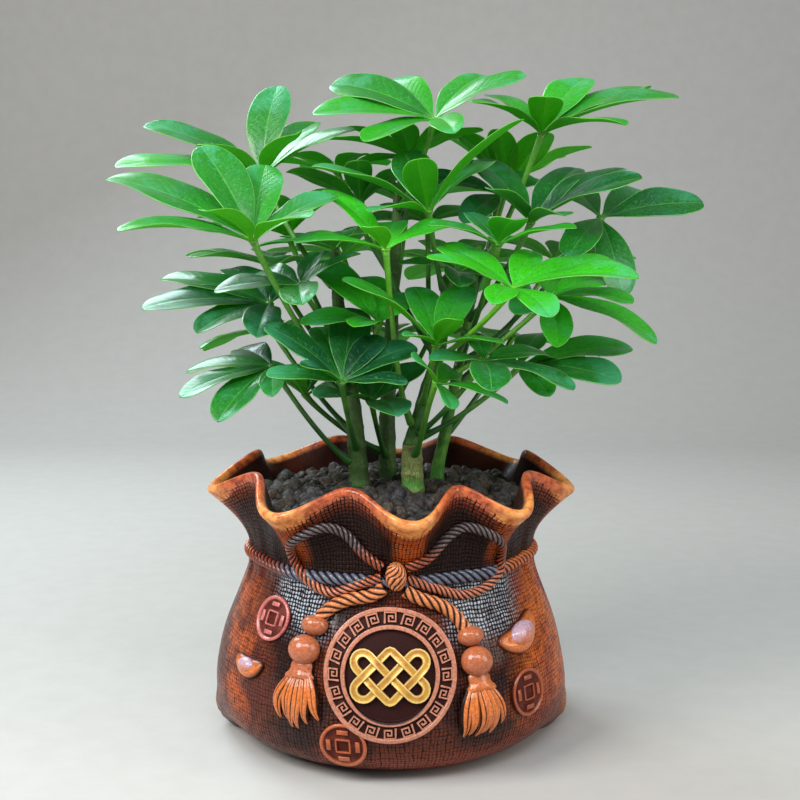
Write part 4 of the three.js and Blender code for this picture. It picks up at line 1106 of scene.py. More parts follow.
def grit_tree():
    """Scatters uneven grains over a surface, turned and sized at random from a fixed seed."""
    tree, given = new_tree("grit", ["Density", "Spacing", "Smallest", "Largest"], ["Seed"])
    spots = field(tree, "GeometryNodeDistributePointsOnFaces", {
        "Mesh": given["Geometry"], "Distance Min": given["Spacing"], "Density Max": given["Density"],
        "Seed": given["Seed"]}, distribute_method="POISSON")
    grain = field(tree, "GeometryNodeMeshIcoSphere", {"Radius": 0.5, "Subdivisions": 2})
    size = field(tree, "ShaderNodeMapRange", {
        "Value": maths("POWER", random_share(tree, given["Seed"]), 2.2),
        "To Min": given["Smallest"], "To Max": given["Largest"]})
    grains = field(tree, "GeometryNodeInstanceOnPoints", {
        "Points": spots, "Instance": grain,
        "Rotation": random_value(tree, Max=GRAIN_TURN, Seed=given["Seed"]),
        "Scale": scaled(tree, random_value(tree, Min=GRAIN_LEAST, Max=GRAIN_MOST), size)})
    grains = stored(tree, grains, "grain", random_share(tree, 7), domain="INSTANCE")
    real = field(tree, "GeometryNodeRealizeInstances", {"Geometry": grains})
    pits = field(tree, "GeometryNodeInputPosition").noise(300.0, 3.0, 0.5)
    shift = scaled(tree, field(tree, "GeometryNodeInputNormal"), (pits - 0.5) * PIT_DEPTH)
    pitted = field(tree, "GeometryNodeSetPosition", {"Geometry": real, "Offset": shift})
    return finish_tree(tree, pitted, given["Material"])


def grit_material():
    """Dark grey-brown baked clay, each grain its own shade, with a damp bluish glint."""
    material, tree = new_material("damp_grit", Coat_Weight=0.15, Coat_Roughness=0.25)
    place = object_place(tree)
    pits, patch = place.noise(620.0, 5.0, 0.7), place.noise(120.0, 3.0, 0.6)
    brown = attribute(tree, "grain").mix((20, 15, 13), (84, 66, 54))
    grey = patch.ramp(0.45, 0.7, 0.0, 0.7).mix(brown, (66, 70, 80))
    colour = pits.ramp(0.52, 0.36, 0.0, 0.85).mix(grey, (9, 6, 5))
    colour = pits.ramp(0.56, 0.7, 0.0, 0.5).mix(colour, (132, 116, 102))
    return surfaced(material, colour, patch.ramp(0.35, 0.7, 0.85, 0.5), pits, 1.0, 1.3)


def soil():
    angles = np.arange(0, 360, SOIL_STEP)
    edge = soil_edge(angles)
    low = inner_wall(angles, flare_z(angles, SOIL_FOOT_SHARE), GAP)
    rings = [low * [0.9, 0.9, 1], low, *[soil_top(s, edge) for s in np.linspace(1, 0.03, BED_RINGS)]]
    skin = closed_skin(rings)
    piece("soil_bed", skin, [grit], "soil", "soil", grain=np.full(len(skin[0]), 0.12))
    top = [soil_top(share, edge) for share in np.linspace(0.94, 0.03, GRAIN_RINGS)]
    mound = bpy.data.meshes.new("mound")
    mound.from_pydata((np.vstack(top) * MM).tolist(), [], skin_faces(len(top), len(angles)))
    grains = grown(grit_tree(), mound, **GRAINS, Material=grit)
    finished("soil_grains", grains, [], "soil")


grit = grit_material()
soil()

# Four woody stems rise from the grit. The front one was cut back to a pale grey-green stub, from which a
# thinner green shoot goes on; the others are green, ringed with the scars of fallen leaves.
# Each stem runs through places given with its radius there.
STEMS = {
    "stem_front": [(10, -15, 85, 5.1), (10, -15, 122, 5.1), (9.5, -15, 139, 4.8), (10.5, -15, 143, 3.6),
                   (17, -15, 166, 3.3), (23, -13, 185, 3), (26, -8, 216, 2.5)],
    "stem_left": [(-15, -8, 85, 4.6), (-15, -8, 122, 4.6), (-17, -9, 150, 4), (-20, -10, 175, 3.4),
                  (-24, -8, 200, 2.9), (-26, -4, 226, 2.4)],
    "stem_back": [(-2, 15, 85, 4.4), (-2, 15, 122, 4.4), (-2, 16, 150, 3.8), (0, 18, 190, 3.2),
                  (2, 20, 225, 2.6), (3, 21, 254, 2.2)],
    "stem_right": [(22, 8, 85, 3.1), (22, 8, 122, 3.1), (28, 12, 150, 2.8), (36, 14, 190, 2.4),
                   (42, 16, 228, 1.9)],
}
# Seed, how woody and how bright
STEM_KINDS = {"stem_front": (20, 1.0, 0.25), "stem_left": (21, 0.16, 0.0), "stem_back": (22, 0.14, 0.0),
              "stem_right": (23, 0.0, 0.75)}
STEM_FROM_Z = 100
STEM_FOOT_Z = 112
STUB_TOP_Z = 141.5
SHOOT_FROM_Z = 138.5
CUT_SCAR_Z = 137.4
SCAR_HALF = 0.75
SCAR_RISE = 0.4
SWELL_HALF = 2.2
FOOT_FLARE = 0.55
BLUNT_END = [(0.1, 0.96), (0.5, 0.84), (0.7, 0.6), (0.55, 0.3)]
ROUND_END = [(0.6, 0.86), (1.4, 0.62), (2, 0.3)]
STEM_SIDES = 32
STEM_STEP = 0.8


def unit(vector):
    return vector / np.linalg.norm(vector)


def stem_at(name, z):
    """Centre, direction and radius of a stem at a height."""
    places = np.array(STEMS[name], float)
    k = int(np.clip(np.searchsorted(places[:, 2], z) - 1, 0, len(places) - 2))
    low, high = places[k], places[k + 1]
    spot = low + (high - low) * (z - low[2]) / (high[2] - low[2])
    return spot[:3], unit((high - low)[:3]), spot[3]


def leaf_scars(rng, low, top):
    """Heights, bearings and sizes of the scars along a stem."""
    scars, z = [], low + rng.uniform(3, 8)
    while z < top - 4:
        scars.append((z, rng.uniform(0, 2 * np.pi), rng.uniform(0.5, 1)))
        z += rng.uniform(5, 10)
    return scars


def shaft(name, low, top, rng):
    """A length of stem with bark ridges and scars, and how scarred each point is."""
    blunt = top == STUB_TOP_Z
    scars = leaf_scars(rng, low, top)
    turn = round_turn(STEM_SIDES)
    round_it = np.column_stack([np.cos(turn), np.sin(turn), 0 * turn])
    rings, marks = [], []
    for z in np.arange(low, top, STEM_STEP):
        centre, _, r = stem_at(name, z)
        before, after = stem_at(name, max(z - 4, low)), stem_at(name, min(z + 4, top))
        centre = centre * 0.5 + (before[0] + after[0]) * 0.25
        r = r * 0.5 + (before[2] + after[2]) * 0.25
        scar = sum(size * np.exp(-(((z - spot - 0.8 * np.cos(turn - face)) / SCAR_HALF) ** 2)) *
                   (0.55 + 0.45 * np.cos(turn - face)) for spot, face, size in scars)
        ridge = 0.1 * np.sin(5 * turn + z / 9) + 0.08 * np.sin(11 * turn - z / 5)
        ridge = ridge + 0.06 * np.sin(3 * turn + z / 3)
        swell = sum(0.07 * size * np.exp(-(((z - spot) / SWELL_HALF) ** 2)) for spot, _, size in scars)
        foot = FOOT_FLARE * math.exp(-(((z - STEM_FOOT_Z) / 7) ** 2))
        reach = r * (1 + swell) + SCAR_RISE * scar * r / 4 + ridge + foot - 0.15
        rings.append(centre + reach[:, None] * round_it)
        if blunt:
            face = (turn + np.pi / 2 + np.pi) % (2 * np.pi) - np.pi
            scar = scar + np.exp(-(((z - CUT_SCAR_Z) / 1.9) ** 2) - (face / 0.62) ** 2)
        marks.append(np.clip(scar, 0, 1) * np.ones(STEM_SIDES))
    centre, along, r = stem_at(name, top)
    tilt = 0.3 * round_it[:, :1] * np.array([0.0, 0.0, 1.0]) if blunt else 0
    for step, share in BLUNT_END if blunt else ROUND_END:
        rings.append(centre + along * step + share * r * (round_it + tilt))
        marks.append(np.full(STEM_SIDES, 0.9 if blunt else 0.0))
    return (*closed_skin(rings), np.concatenate([*marks, [0, marks[-1][0]]]))


def stem(name, seed, woody, bright):
    """One stem, or the stub and its shoot; the stub is woody and the shoot is not."""
    rng = np.random.default_rng(seed)
    top = STEMS[name][-1][2]
    lengths = [(STEM_FROM_Z, top)]
    if name == "stem_front":
        lengths = [(STEM_FROM_Z, STUB_TOP_Z), (SHOOT_FROM_Z, top)]
    shafts = [shaft(name, *length, rng) for length in lengths]
    wood = [np.full(len(skin[0]), woody * (k == 0)) for k, skin in enumerate(shafts)]
    *skin, scar = joined_skins(shafts)
    piece(name + "_bark", skin, [bark], "stem", name, scar=scar, woody=np.concatenate(wood),
          bright=np.full(len(scar), bright))


def cell_edges(place, scale):
    """Distance to the nearest edge of a net of cells."""
    return field(place.tree, "ShaderNodeTexVoronoi", {"Vector": place, "Scale": scale}, "Distance",
                 feature="DISTANCE_TO_EDGE")


def bark_material():
    """Patchy green bark, pale cracked wood with moss at its foot, brown scars, and a foot dark with soil."""
    material, tree = new_material("bark", Coat_Weight=0.12, Coat_Roughness=0.35)
    place = object_place(tree)
    _, _, z = place.parts()
    stretched = field(tree, "ShaderNodeMapping", {"Vector": place, "Scale": (1, 1, 0.4)})
    patch, fine = place.noise(120.0, 4.0, 0.6), stretched.noise(700.0, 5.0, 0.65)
    crack = cell_edges(stretched, 900.0).ramp(0.16, 0.02)
    # The shoots' greens are kept dark, partly as painted shade inside the crown.
    shoot = patch.ramp(0.35, 0.68).mix((28, 76, 22), (62, 112, 36))
    fresh = patch.ramp(0.35, 0.68).mix((66, 150, 34), (112, 176, 54))
    green = attribute(tree, "bright").mix(shoot, fresh)
    wood = fine.ramp(0.35, 0.7).mix((158, 170, 98), (112, 130, 66))
    wood = (crack * patch.ramp(0.4, 0.6, 0.25, 0.75)).mix(wood, (48, 56, 30))
    moss = z.ramp(0.127, 0.12) * patch.ramp(0.38, 0.55)
    wood = (moss * 0.8).mix(wood, (60, 150, 44))
    woody = attribute(tree, "woody")
    colour = (woody * patch.ramp(0.3, 0.5, 0.75, 1.0)).mix(green, wood)
    burnt = woody.mix((122, 132, 80), (112, 70, 34))
    colour = (attribute(tree, "scar").ramp(0.25, 0.8) * 0.75).mix(colour, burnt)
    colour = fine.ramp(0.48, 0.3, 0.0, 0.45).mix(colour, (34, 44, 18))
    colour = (z.ramp(0.119, 0.1135) * 0.6).mix(colour, (40, 36, 26))
    return surfaced(material, colour, fine.ramp(0.3, 0.7, 0.66, 0.46), fine - crack * 0.4, 0.7, 0.4)


bark = bark_material()
for name, kind in STEM_KINDS.items():
    stem(name, *kind)

# Each leaf is a fan of four to eight leaflets on one long, nearly straight stalk. A leaflet is a leathery
# blade, broadest past its middle, with a narrow foot, a folded midrib and a pale margin. Young leaves are a
# bright yellow-green that light shines through; old ones are deep blue-green and glossy. Leaves deep in the
# crown are given a high age too, so they are painted darker as painted shade.
LEAFLET_ASPECT = 0.42
FOLD_ANGLE = 13
DROOP_ANGLE = 26
STALK_LEAD = 0.2
STALK_BEND = 0.08
STALK_RADII = ([0, 0.05, 0.3, 0.8, 0.93, 1.03], [1.8, 1.5, 1.2, 1.25, 1.7, 2.3])
STALK_STEPS = 26
STALK_SIDES = 12
HUB_R = 2.2
HUB_RISE = 1.15
BLADE = 0.5
FOOT_THICK = 1.2
RIB_HEIGHT = 0.45
RIB_HALF = 0.55
GROOVE_DEPTH = 0.14
GROOVE_HALF = 0.5
QUILT_HEIGHT = 0.1
STATIONS = np.array([0, 0.03, 0.06, 0.09, 0.13, 0.18, 0.23, 0.29, 0.35, 0.41, 0.47, 0.53, 0.59, 0.65, 0.71,
                     0.77, 0.82, 0.865, 0.9, 0.93, 0.955, 0.975, 0.99, 0.998])
ACROSS = np.array([-1, -0.93, -0.78, -0.54, -0.3, -0.1, 0, 0.1, 0.3, 0.54, 0.78, 0.93, 1])
WIDTHS = [(0, 0.09), (0.05, 0.1), (0.1, 0.19), (0.18, 0.4), (0.3, 0.67), (0.42, 0.86), (0.56, 0.975),
          (0.68, 1), (0.79, 0.955), (0.87, 0.85), (0.93, 0.68), (0.97, 0.47), (0.993, 0.23), (1, 0.06)]
FAN_TAPER = 0.12
UPPER, UNDER, STALK = 0, 1, 2


def even_fan(count, outward_bearing, length, cup, tilt):
    """Leaflets in an even ring, cupped upwards and tilted outwards, the outward ones the longest."""
    fan = []
    for i in range(count):
        turn = 360 / count * i
        facing = math.cos(math.radians(turn))
        fan.append((outward_bearing + turn, cup - tilt * facing, length * (1 - FAN_TAPER * (1 - facing))))
    return fan


# Stem, height on it, hub, age and painted shade from 0 to 1, and the leaflets as (bearing from +X, rise,
# length)
LEAVES = [
    ("stem_left", 213, (-61, 12, 262), 0.55,
     [(177, 26, 60), (195, 4, 68), (80, 62, 50), (50, 38, 46), (348, 27, 50), (238, 18, 44),
      (302, 28, 42)]),
    ("stem_left", 166, (-58, -56, 234), 0.52,
     [(172, 24, 68), (210, 6, 60), (136, 50, 53), (86, 44, 48), (30, 27, 44), (250, 18, 43),
      (308, 16, 41)]),
    ("stem_back", 248, (20, 1, 288), 0.5,
     [(186, 2, 56), (157, 20, 56), (216, -15, 42), (119, 27, 46), (50, 32, 44), (347, 26, 46),
      (285, -10, 36)]),
    ("stem_right", 222, (70, 6, 282), 0.46,
     [(220, 17, 46), (55, 36, 50), (18, 22, 60), (342, 15, 64), (312, 4, 50), (268, 22, 38),
      (130, 30, 42)]),
    ("stem_front", 211, (17, -20, 246), 0.55,
     [(258, 36, 38), (335, 42, 60), (184, 22, 56), (40, 32, 45), (225, 2, 36), (110, 38, 45)]),
    ("stem_right", 196, (64, -10, 241), 0.9,
     [(128, 38, 48), (52, 34, 46), (20, 28, 54), (342, 22, 54), (285, 6, 38), (235, 22, 40)]),
    ("stem_right", 176, (99, 12, 243), 0.8,
     [(5, 8, 50), (238, -25, 40), (285, -52, 44), (110, 22, 44), (50, 16, 46)]),
    ("stem_front", 180, (52, -59, 214), 0.05,
     [(203, 19, 42), (140, 25, 42), (69, 29, 32), (18, 12, 50), (338, 8, 54), (293, -14, 36),
      (250, -6, 32)]),
    ("stem_front", 149, (-2, -44, 230), 0.15,
     [(257, 21, 28), (28, 16, 40), (142, 37, 43), (186, 6, 40), (83, 22, 34)]),
    ("stem_left", 163, (-56, -10, 204), 0.85,
     [(165, 12, 56), (196, 0, 58), (228, -12, 44), (268, -15, 40), (120, 20, 45), (70, 16, 38)]),
    ("stem_left", 131, (-54, -20, 176), 0.8,
     [(165, -4, 42), (205, -14, 45), (236, -26, 44), (120, 8, 38), (275, -20, 28)]),
    ("stem_left", 138, (-21, -52, 173), 0.9,
     [(178, 38, 41), (109, 36, 38), (84, 42, 45), (46, 37, 31), (25, 24, 38), (348, 1, 29), (200, 9, 34),
      (228, 23, 26)]),
    ("stem_left", 168, (-5, -33, 197), 0.35,
     [(140, 34, 48), (250, 2, 30), (60, 18, 34), (100, 30, 40), (195, 4, 36)]),
    ("stem_front", 160, (20, -42, 188), 0.35,
     [(200, 36, 52), (238, 14, 26), (290, 30, 28), (332, 6, 32), (104, 38, 40), (60, 40, 38)]),
    ("stem_front", 136, (20, -46, 172), 0.45,
     [(335, -12, 34), (285, -20, 24), (240, 33, 26), (70, 8, 26)]),
    ("stem_front", 169, (72, -22, 208), 0.2,
     [(322, 0, 42), (350, -20, 52), (272, -32, 36), (235, -8, 34), (40, 10, 42), (90, 18, 34)]),
    ("stem_front", 144, (59, -18, 176), 0.65,
     [(8, 8, 54), (332, -4, 48), (290, -18, 32), (70, 20, 38), (130, 14, 30)]),
    ("stem_right", 214, (52, 22, 254), 0.85,
     [(238, -20, 38), (110, 28, 38), (170, 12, 40), (60, 14, 40)]),
    ("stem_back", 237, (9, 30, 271), 0.7, even_fan(7, 108, 45, 20, 8)),
    ("stem_left", 171, (-58, 33, 219), 0.8, even_fan(6, 157, 49, 8, 1)),
    ("stem_left", 181, (-53, 61, 234), 0.6, even_fan(7, 157, 52, 21, 16)),
    ("stem_back", 217, (-27, 52, 265), 0.5, even_fan(6, 112, 44, 10, 6)),
    ("stem_back", 196, (8, 76, 249), 0.6, even_fan(7, 72, 50, 14, 7)),
    ("stem_right", 204, (58, 63, 257), 0.5, even_fan(7, 49, 50, 36, 14)),
    ("stem_right", 165, (82, 54, 222), 0.7, even_fan(6, 30, 46, 8, 12)),
    ("stem_back", 178, (-26, 84, 223), 0.6, even_fan(6, 112, 46, 9, 17)),
    ("stem_back", 152, (36, 88, 216), 0.7, even_fan(7, 76, 46, 5, 24)),
    ("stem_left", 144, (-60, 50, 186), 0.8, even_fan(6, 153, 43, -1, 14)),
    ("stem_back", 141, (2, 62, 184), 0.85, even_fan(6, 90, 46, -2, 12)),
    ("stem_right", 142, (61, 47, 183), 0.8, even_fan(6, 38, 49, -4, 11)),
    ("stem_left", 199, (-26, 2, 229), 0.75, even_fan(6, 200, 38, 12, 8)),
    ("stem_front", 198, (32, 0, 218), 0.8, even_fan(6, 326, 38, 2, 14)),
    ("stem_back", 130, (-9, -9, 158), 0.85,
     [(32, 28, 34), (79, 44, 32), (128, 31, 35), (239, 10, 46), (287, 2, 45)]),
    ("stem_back", 131, (-41, 8, 159), 0.8,
     [(135, 22, 40), (189, 26, 43), (248, 31, 30), (12, 18, 30), (77, 28, 34)]),
    ("stem_front", 179, (18, 47, 241), 0.75,
     [(258, 26, 27), (317, 15, 28), (11, 5, 33), (163, 0, 34), (213, 17, 29)]),
    ("stem_right", 174, (47, -40, 232), 0.6,
     [(274, 18, 38), (343, 13, 35), (57, 29, 21), (123, 32, 27), (197, 17, 33)]),
    ("stem_front", 182, (-15, 28, 250), 0.8,
     [(89, 8, 33), (205, 23, 40), (269, 38, 33), (326, 30, 32), (28, 26, 37)]),
    ("stem_left", 187, (-40, -34, 214), 0.7,
     [(17, 27, 31), (72, 28, 30), (128, 9, 34), (174, -4, 39), (274, -7, 41)]),
    ("stem_front", 146, (41, -42, 181), 0.75,
     [(325, -12, 45), (36, 2, 40), (97, 20, 33), (205, 5, 27), (272, -10, 43)]),
]


def direction(bearing, rise):
    b, r = math.radians(bearing), math.radians(rise)
    return np.array([math.cos(b) * math.cos(r), math.sin(b) * math.cos(r), math.sin(r)])


def fan_axis(fan):
    """Mean axis of a fan of leaflets, the side that its upper faces look to."""
    ways = [direction(bearing, rise) for bearing, rise, _ in sorted(fan, key=lambda row: row[0])]
    total = sum(np.cross(d, ways[(i + 1) % len(ways)]) for i, d in enumerate(ways))
    return unit(total) if total @ total > 0.01 else np.array([0.0, 0.0, 1.0])


def leaflet(hub, axis, row, rng):
    """Closed blade of one leaflet, its faces' sides, and its points' shares across and along."""
    bearing, rise, length = row
    along = direction(bearing, rise)
    side = unit(np.cross(axis, along))
    up = np.cross(along, side)
    half = length * LEAFLET_ASPECT / 2
    s, x = STATIONS[:, None], ACROSS[None, :]
    width = height_curve(WIDTHS, STATIONS)[:, None] * (1 - rng.uniform(0, 0.2) * smoothstep(s, 0.62, 0.99))
    reach = half * width * x
    ripple = np.sin(2 * np.pi * (1.6 + rng.uniform(-0.3, 0.3)) * s + rng.uniform(0, 6.28))
    hand = np.sin(2 * np.pi * 1.1 * s + rng.uniform(0, 6.28))
    wave = half * width * x * x * (0.05 * ripple + 0.06 * hand * np.sign(x))
    fold = np.abs(reach) * math.tan(math.radians(FOLD_ANGLE)) * (1 - 0.42 * np.abs(x))
    fold = fold * rng.uniform(1.0, 1.4)
    arch = length * math.radians(DROOP_ANGLE) / 2 * s * (1 - s) - rng.uniform(0.0, 0.04) * length * s**3
    bow = rng.uniform(-0.04, 0.04) * length * s * s
    roll = rng.uniform(-0.14, 0.14) * s
    quilt = QUILT_HEIGHT * np.sin(2 * np.pi * (6.5 * s - 0.9 * np.abs(x) ** 0.8))
    quilt = quilt * np.sin(np.pi * np.abs(x)) * (1 - s)
    thick = np.where(s < 0.1, FOOT_THICK - 7 * s, BLADE) * (1 - 0.45 * x * x)
    rib = RIB_HEIGHT * np.exp(-((reach / RIB_HALF) ** 2)) * (1 - s) ** 0.5
    groove = GROOVE_DEPTH * np.exp(-((reach / GROOVE_HALF) ** 2)) * (1 - s)

    def face(lift):
        height = arch + fold + wave + quilt + roll * reach + lift
        return (hub + along * (s * length)[..., None] + side * (reach + bow)[..., None]
                + up * height[..., None])

    upper, under = face(thick / 2 - groove), face(-thick / 2 - rib)
    points, faces = closed_skin(np.concatenate([upper, under[:, ::-1]], axis=1))
    count = len(ACROSS)
    blade = (len(STATIONS) - 1) * 2 * count
    kinds = [UPPER if k < blade and k % (2 * count) < count - 1 else UNDER for k in range(len(faces))]
    across = np.append(np.tile(np.r_[ACROSS, ACROSS[::-1]], len(STATIONS)), [0, 0])
    return points, faces, kinds, across, np.append(np.repeat(STATIONS, 2 * count), [0, 1])


def leaf_stalk(stem_name, height, hub, axis):
    """The long stalk, thicker at the hub and at the sheath that clasps the stem."""
    centre, along, r = stem_at(stem_name, height)
    out = hub - centre
    out = unit(out - along * (out @ along))
    foot = centre + out * (r + GAP)
    reach = np.linalg.norm(hub - foot)
    line = unit(foot - hub)
    a = hub + line * reach * STALK_LEAD - axis * reach * STALK_BEND
    b = foot - line * reach * STALK_LEAD + out * reach * STALK_BEND
    t = np.linspace(0, 1, STALK_STEPS)[:, None]
    spots = hub * (1 - t) ** 3 + 3 * a * t * (1 - t) ** 2 + 3 * b * t * t * (1 - t) + foot * t**3
    spots = np.vstack([spots, foot - out * 1.4 - along * 0.5])
    points, faces = tube(spots, np.interp(np.r_[t[:, 0], 1.03], *STALK_RADII), STALK_SIDES)
    share = np.append(np.repeat(np.r_[t[:, 0], 1.0], STALK_SIDES), [0, 1])
    return points, faces, [STALK] * len(faces), 0 * share, share


def leaf_hub(hub, axis):
    """The low dome where the leaflets meet."""
    east = unit(np.cross([0.0, 1.0, 0.0], axis))
    north = np.cross(axis, east)
    turn = round_turn(14)
    rings = []
    for tip in np.linspace(0.12, np.pi - 0.12, 8):
        spread = HUB_R * math.sin(tip) * (1 + 0.08 * np.sin(7 * turn))
        rings.append(hub + axis * HUB_RISE * math.cos(tip) + np.cos(turn)[:, None] * spread[:, None] * east
                     + np.sin(turn)[:, None] * spread[:, None] * north)
    points, faces = closed_skin(rings)
    return points, faces, [STALK] * len(faces), np.zeros(len(points)), np.zeros(len(points))


def leaf(number, stem_name, height, place, age, fan):
    rng = np.random.default_rng(100 + number)
    hub, axis = np.array(place, float), fan_axis(fan)
    parts = [leaflet(hub, axis, row, rng) for row in fan]
    parts += [leaf_stalk(stem_name, height, hub, axis), leaf_hub(hub, axis)]
    parts = [(*part, np.full(len(part[0]), rng.uniform(0, 1))) for part in parts]
    points, faces, kinds, across, along, tone = joined_skins(parts)
    made = piece(f"leaf_{number:02d}_fan", (points, faces), [leaf_top, leaf_under, stalk_green], "leaf",
                 f"leaf_{number:02d}", across=across, along=along, tone=tone, age=np.full(len(points), age))
    made.data.polygons.foreach_set("material_index", kinds.astype(np.int32))


def leaf_veins_group():
    """Midrib, slanting side veins and the net between them, on a blade -1 to 1 across and 0 to 1 along."""
    tree, given = new_group("leaf_veins", ["Across", "Along"],
                            ["Midrib", "Veins", "Margin", "Net", "Relief"])
    off, place = abs(given["Across"]), object_place(tree)
    row = given["Along"] + place.noise(90.0, 2.0, 0.5) * 0.07 - maths("POWER", off, 0.75) * 0.2
    ridge = abs(maths("SINE", row * 13.0 * math.pi))
    fading, midrib = off.ramp(0.95, 0.5), off.ramp(0.05, 0.015)
    net = cell_edges(place, 1100.0).ramp(0.12, 0.02)
    node(tree, "NodeGroupOutput", {
        "Midrib": midrib, "Veins": ridge.ramp(0.16, 0.02) * fading, "Margin": off.ramp(0.945, 0.985),
        "Net": net, "Relief": (ridge - net * 0.35) * fading - midrib * 1.2})
    return tree


def leaf_face(name, young, old, vein, margin, glow, painted_sheen, rib_share, vein_share, rough, through,
              **constants):
    """One side of the blades: colour by age, painted shade and leaflet, veins, a painted sheen, and light
    shining through.
    """
    material, tree = new_material(name, **constants)
    place, along = object_place(tree), attribute(tree, "along")
    veins = grouped(tree, leaf_veins, Across=attribute(tree, "across"), Along=along)
    patch, fine = place.noise(60.0, 3.0, 0.55), place.noise(800.0, 3.0, 0.6)
    drift = (attribute(tree, "tone") - 0.5) * 0.35 + (patch - 0.5) * 0.4
    # A high value darkens the green: older leaves, and leaves deep in the crown as painted shade.
    green = (attribute(tree, "age") + drift).clamped().mix(young, old)
    for share in (veins["Net"] * 0.1, veins["Veins"] * vein_share, veins["Midrib"] * rib_share,
                  along.ramp(0.12, 0.0, 0.0, 0.5)):
        green = share.mix(green, vein)
    green = (veins["Margin"] * 0.6).mix(green, margin)
    green = fine.ramp(0.5, 0.3, 0.0, 0.3).mix(green, (4, 40, 22))
    # Painted sheen: pale specks, and pale patches towards the tips, painted as reflections.
    green = fine.ramp(0.54, 0.72, 0.0, 0.3).mix(green, painted_sheen)
    green = (along.ramp(0.4, 1.0, 0.0, 0.4) * patch.ramp(0.42, 0.6)).mix(green, painted_sheen)
    surfaced(material, green, fine.ramp(0.3, 0.7, 0.0, 0.1) + rough, veins["Relief"] + fine * 0.3, 0.3, 0.3)
    lit = field(tree, "ShaderNodeMix", {0: 0.75, 6: green, 7: pigment(glow)}, 2, data_type="RGBA")
    shine = field(tree, "ShaderNodeBsdfTranslucent", {"Color": lit})
    solid = Field(tree, tree.nodes["Principled BSDF"].outputs[0])
    wired(tree.nodes["Material Output"],
          {"Surface": field(tree, "ShaderNodeMixShader", {0: through, 1: solid, 2: shine})})
    return material


def stalk_material():
    """Yellow-green stalks, darker with age and painted shade, and towards the stem."""
    material, tree = new_material("stalk_green", Coat_Weight=0.2, Coat_Roughness=0.3)
    place = object_place(tree)
    patch, fine = place.noise(110.0, 3.0, 0.6), place.noise(900.0, 3.0, 0.6)
    down = attribute(tree, "along").ramp(0.1, 1.0, -0.15, 0.35)
    green = (attribute(tree, "age") + (patch - 0.5 + down)).clamped().mix((112, 190, 44), (40, 104, 32))
    colour = fine.ramp(0.4, 0.7, 0.0, 0.3).mix(green, (40, 76, 24))
    return surfaced(material, colour, fine.ramp(0.3, 0.7, 0.38, 0.5), fine, 0.3, 0.2)


leaf_veins = leaf_veins_group()
leaf_top = leaf_face("leaf_top", young=(58, 188, 20), old=(0, 54, 38), vein=(120, 204, 96),
                     margin=(156, 226, 130), glow=(110, 240, 34), painted_sheen=(96, 204, 156), rib_share=0.34,
                     vein_share=0.06, rough=0.3, through=0.18, Specular_IOR_Level=0.35, Coat_Weight=0.42,
                     Coat_Roughness=0.15)
leaf_under = leaf_face("leaf_under", young=(104, 220, 16), old=(26, 132, 38), vein=(160, 226, 84),
                       margin=(170, 230, 110), glow=(160, 255, 30), painted_sheen=(110, 206, 70), rib_share=0.6,
                       vein_share=0.2, rough=0.46, through=0.46, Specular_IOR_Level=0.3)
stalk_green = stalk_material()
for number, row in enumerate(LEAVES, 1):
    leaf(number, *row)

# The pot stands on a plain pale floor that sweeps up behind it, under soft studio light: a big soft lamp
# to the front left, a cool one high in front that glints on the shoulder, a warm one on the right and a
# cool one behind.
FLOOR_HALF = 1.6
FLOOR_FRONT = -1.2
SWEEP_FROM = 0.75
SWEEP_RADIUS = 0.5
SWEEP_TOP = 1.8
CAMERA_PLACE = (0.0042, -0.633, 0.249)
CAMERA_TILT = 81.8
LENS = 60.84
SENSOR = 36
SKY = (0.78, 0.82, 0.88, 1)
SKY_STRENGTH = 0.24
# Name, place, target, size, power and colour
LAMPS = [
    ("key_lamp", (-0.75, -0.55, 0.85), (0, 0, 0.17), (0.6, 0.6), 15, (1, 0.99, 0.96)),
    ("shoulder_lamp", (0.1, -0.75, 0.95), (0, 0, 0.1), (0.9, 0.35), 8, (0.86, 0.93, 1)),
    ("right_lamp", (0.9, -0.45, 0.5), (0, 0, 0.12), (0.5, 0.7), 5, (1, 0.94, 0.86)),
    ("back_lamp", (-0.5, 0.55, 0.8), (0, 0, 0.22), (0.5, 0.5), 8, (0.8, 0.94, 1)),
]


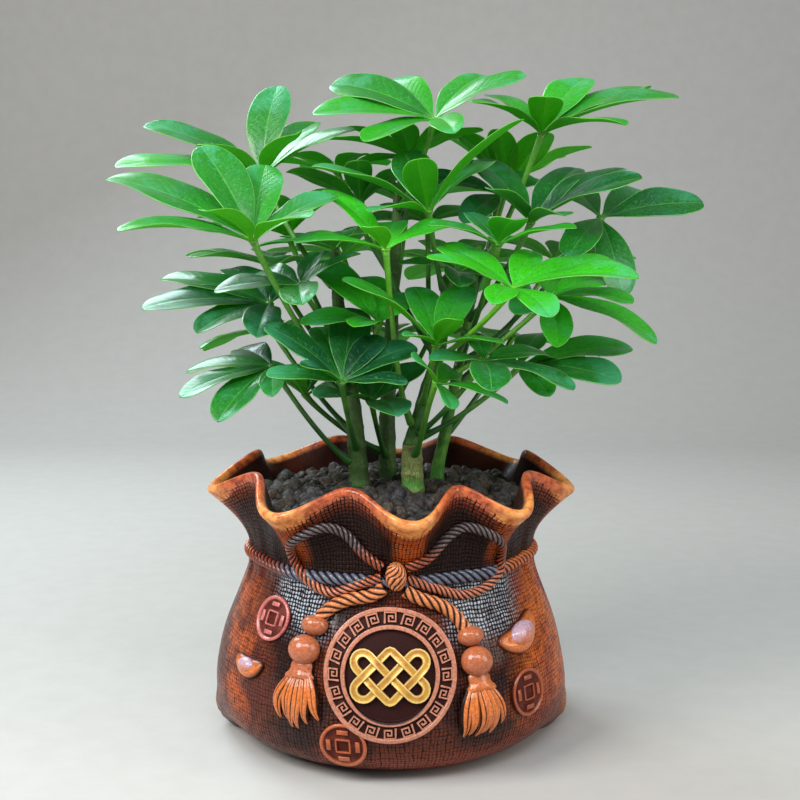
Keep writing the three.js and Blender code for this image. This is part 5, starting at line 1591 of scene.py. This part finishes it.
def paper():
    """Pale matt paper with the faintest grain."""
    material, tree = new_material("backdrop_paper")
    fibre = object_place(tree).noise(60.0, 4.0, 0.6)
    wired(tree.nodes["Principled BSDF"], {
        "Base Color": fibre.ramp(0.3, 0.7).mix((182, 180, 176), (179, 177, 173)),
        "Roughness": fibre.ramp(0.3, 0.7, 0.75, 0.85)})
    return material


def sweep():
    turn = np.linspace(0, np.pi / 2, 24)
    y = np.r_[FLOOR_FRONT, SWEEP_FROM + SWEEP_RADIUS * np.sin(turn), SWEEP_FROM + SWEEP_RADIUS]
    z = np.r_[0, SWEEP_RADIUS * (1 - np.cos(turn)), SWEEP_TOP]
    points = [(x, a, b) for a, b in zip(y, z) for x in (-FLOOR_HALF, FLOOR_HALF)]
    faces = [(2 * k, 2 * k + 1, 2 * k + 3, 2 * k + 2) for k in range(len(y) - 1)]
    mesh = bpy.data.meshes.new("floor")
    mesh.from_pydata(points, [], faces)
    mesh.materials.append(paper())
    mesh.shade_smooth()
    floor = bpy.data.objects.new("floor", mesh)
    bpy.context.scene.collection.objects.link(floor)


def lamp(name, place, target, size, power, colour):
    light = bpy.data.lights.new(name, "AREA")
    light.shape = "RECTANGLE"
    light.size, light.size_y = size
    light.energy = power
    light.color = colour
    obj = bpy.data.objects.new(name, light)
    obj.location = place
    way = Vector(target) - Vector(place)
    obj.rotation_euler = way.to_track_quat("-Z", "Y").to_euler()
    bpy.context.scene.collection.objects.link(obj)


def camera():
    lens = bpy.data.cameras.new("camera")
    lens.sensor_width = SENSOR
    lens.lens = LENS
    view = bpy.data.objects.new("camera", lens)
    view.location = CAMERA_PLACE
    view.rotation_euler = (math.radians(CAMERA_TILT), 0, 0)
    bpy.context.scene.collection.objects.link(view)
    bpy.context.scene.camera = view


sweep()
for row in LAMPS:
    lamp(*row)
world = bpy.data.worlds.new("studio")
world.use_nodes = True
world.node_tree.nodes["Background"].inputs["Color"].default_value = SKY
world.node_tree.nodes["Background"].inputs["Strength"].default_value = SKY_STRENGTH
bpy.context.scene.world = world
bpy.context.scene.view_settings.view_transform = "Standard"
camera()
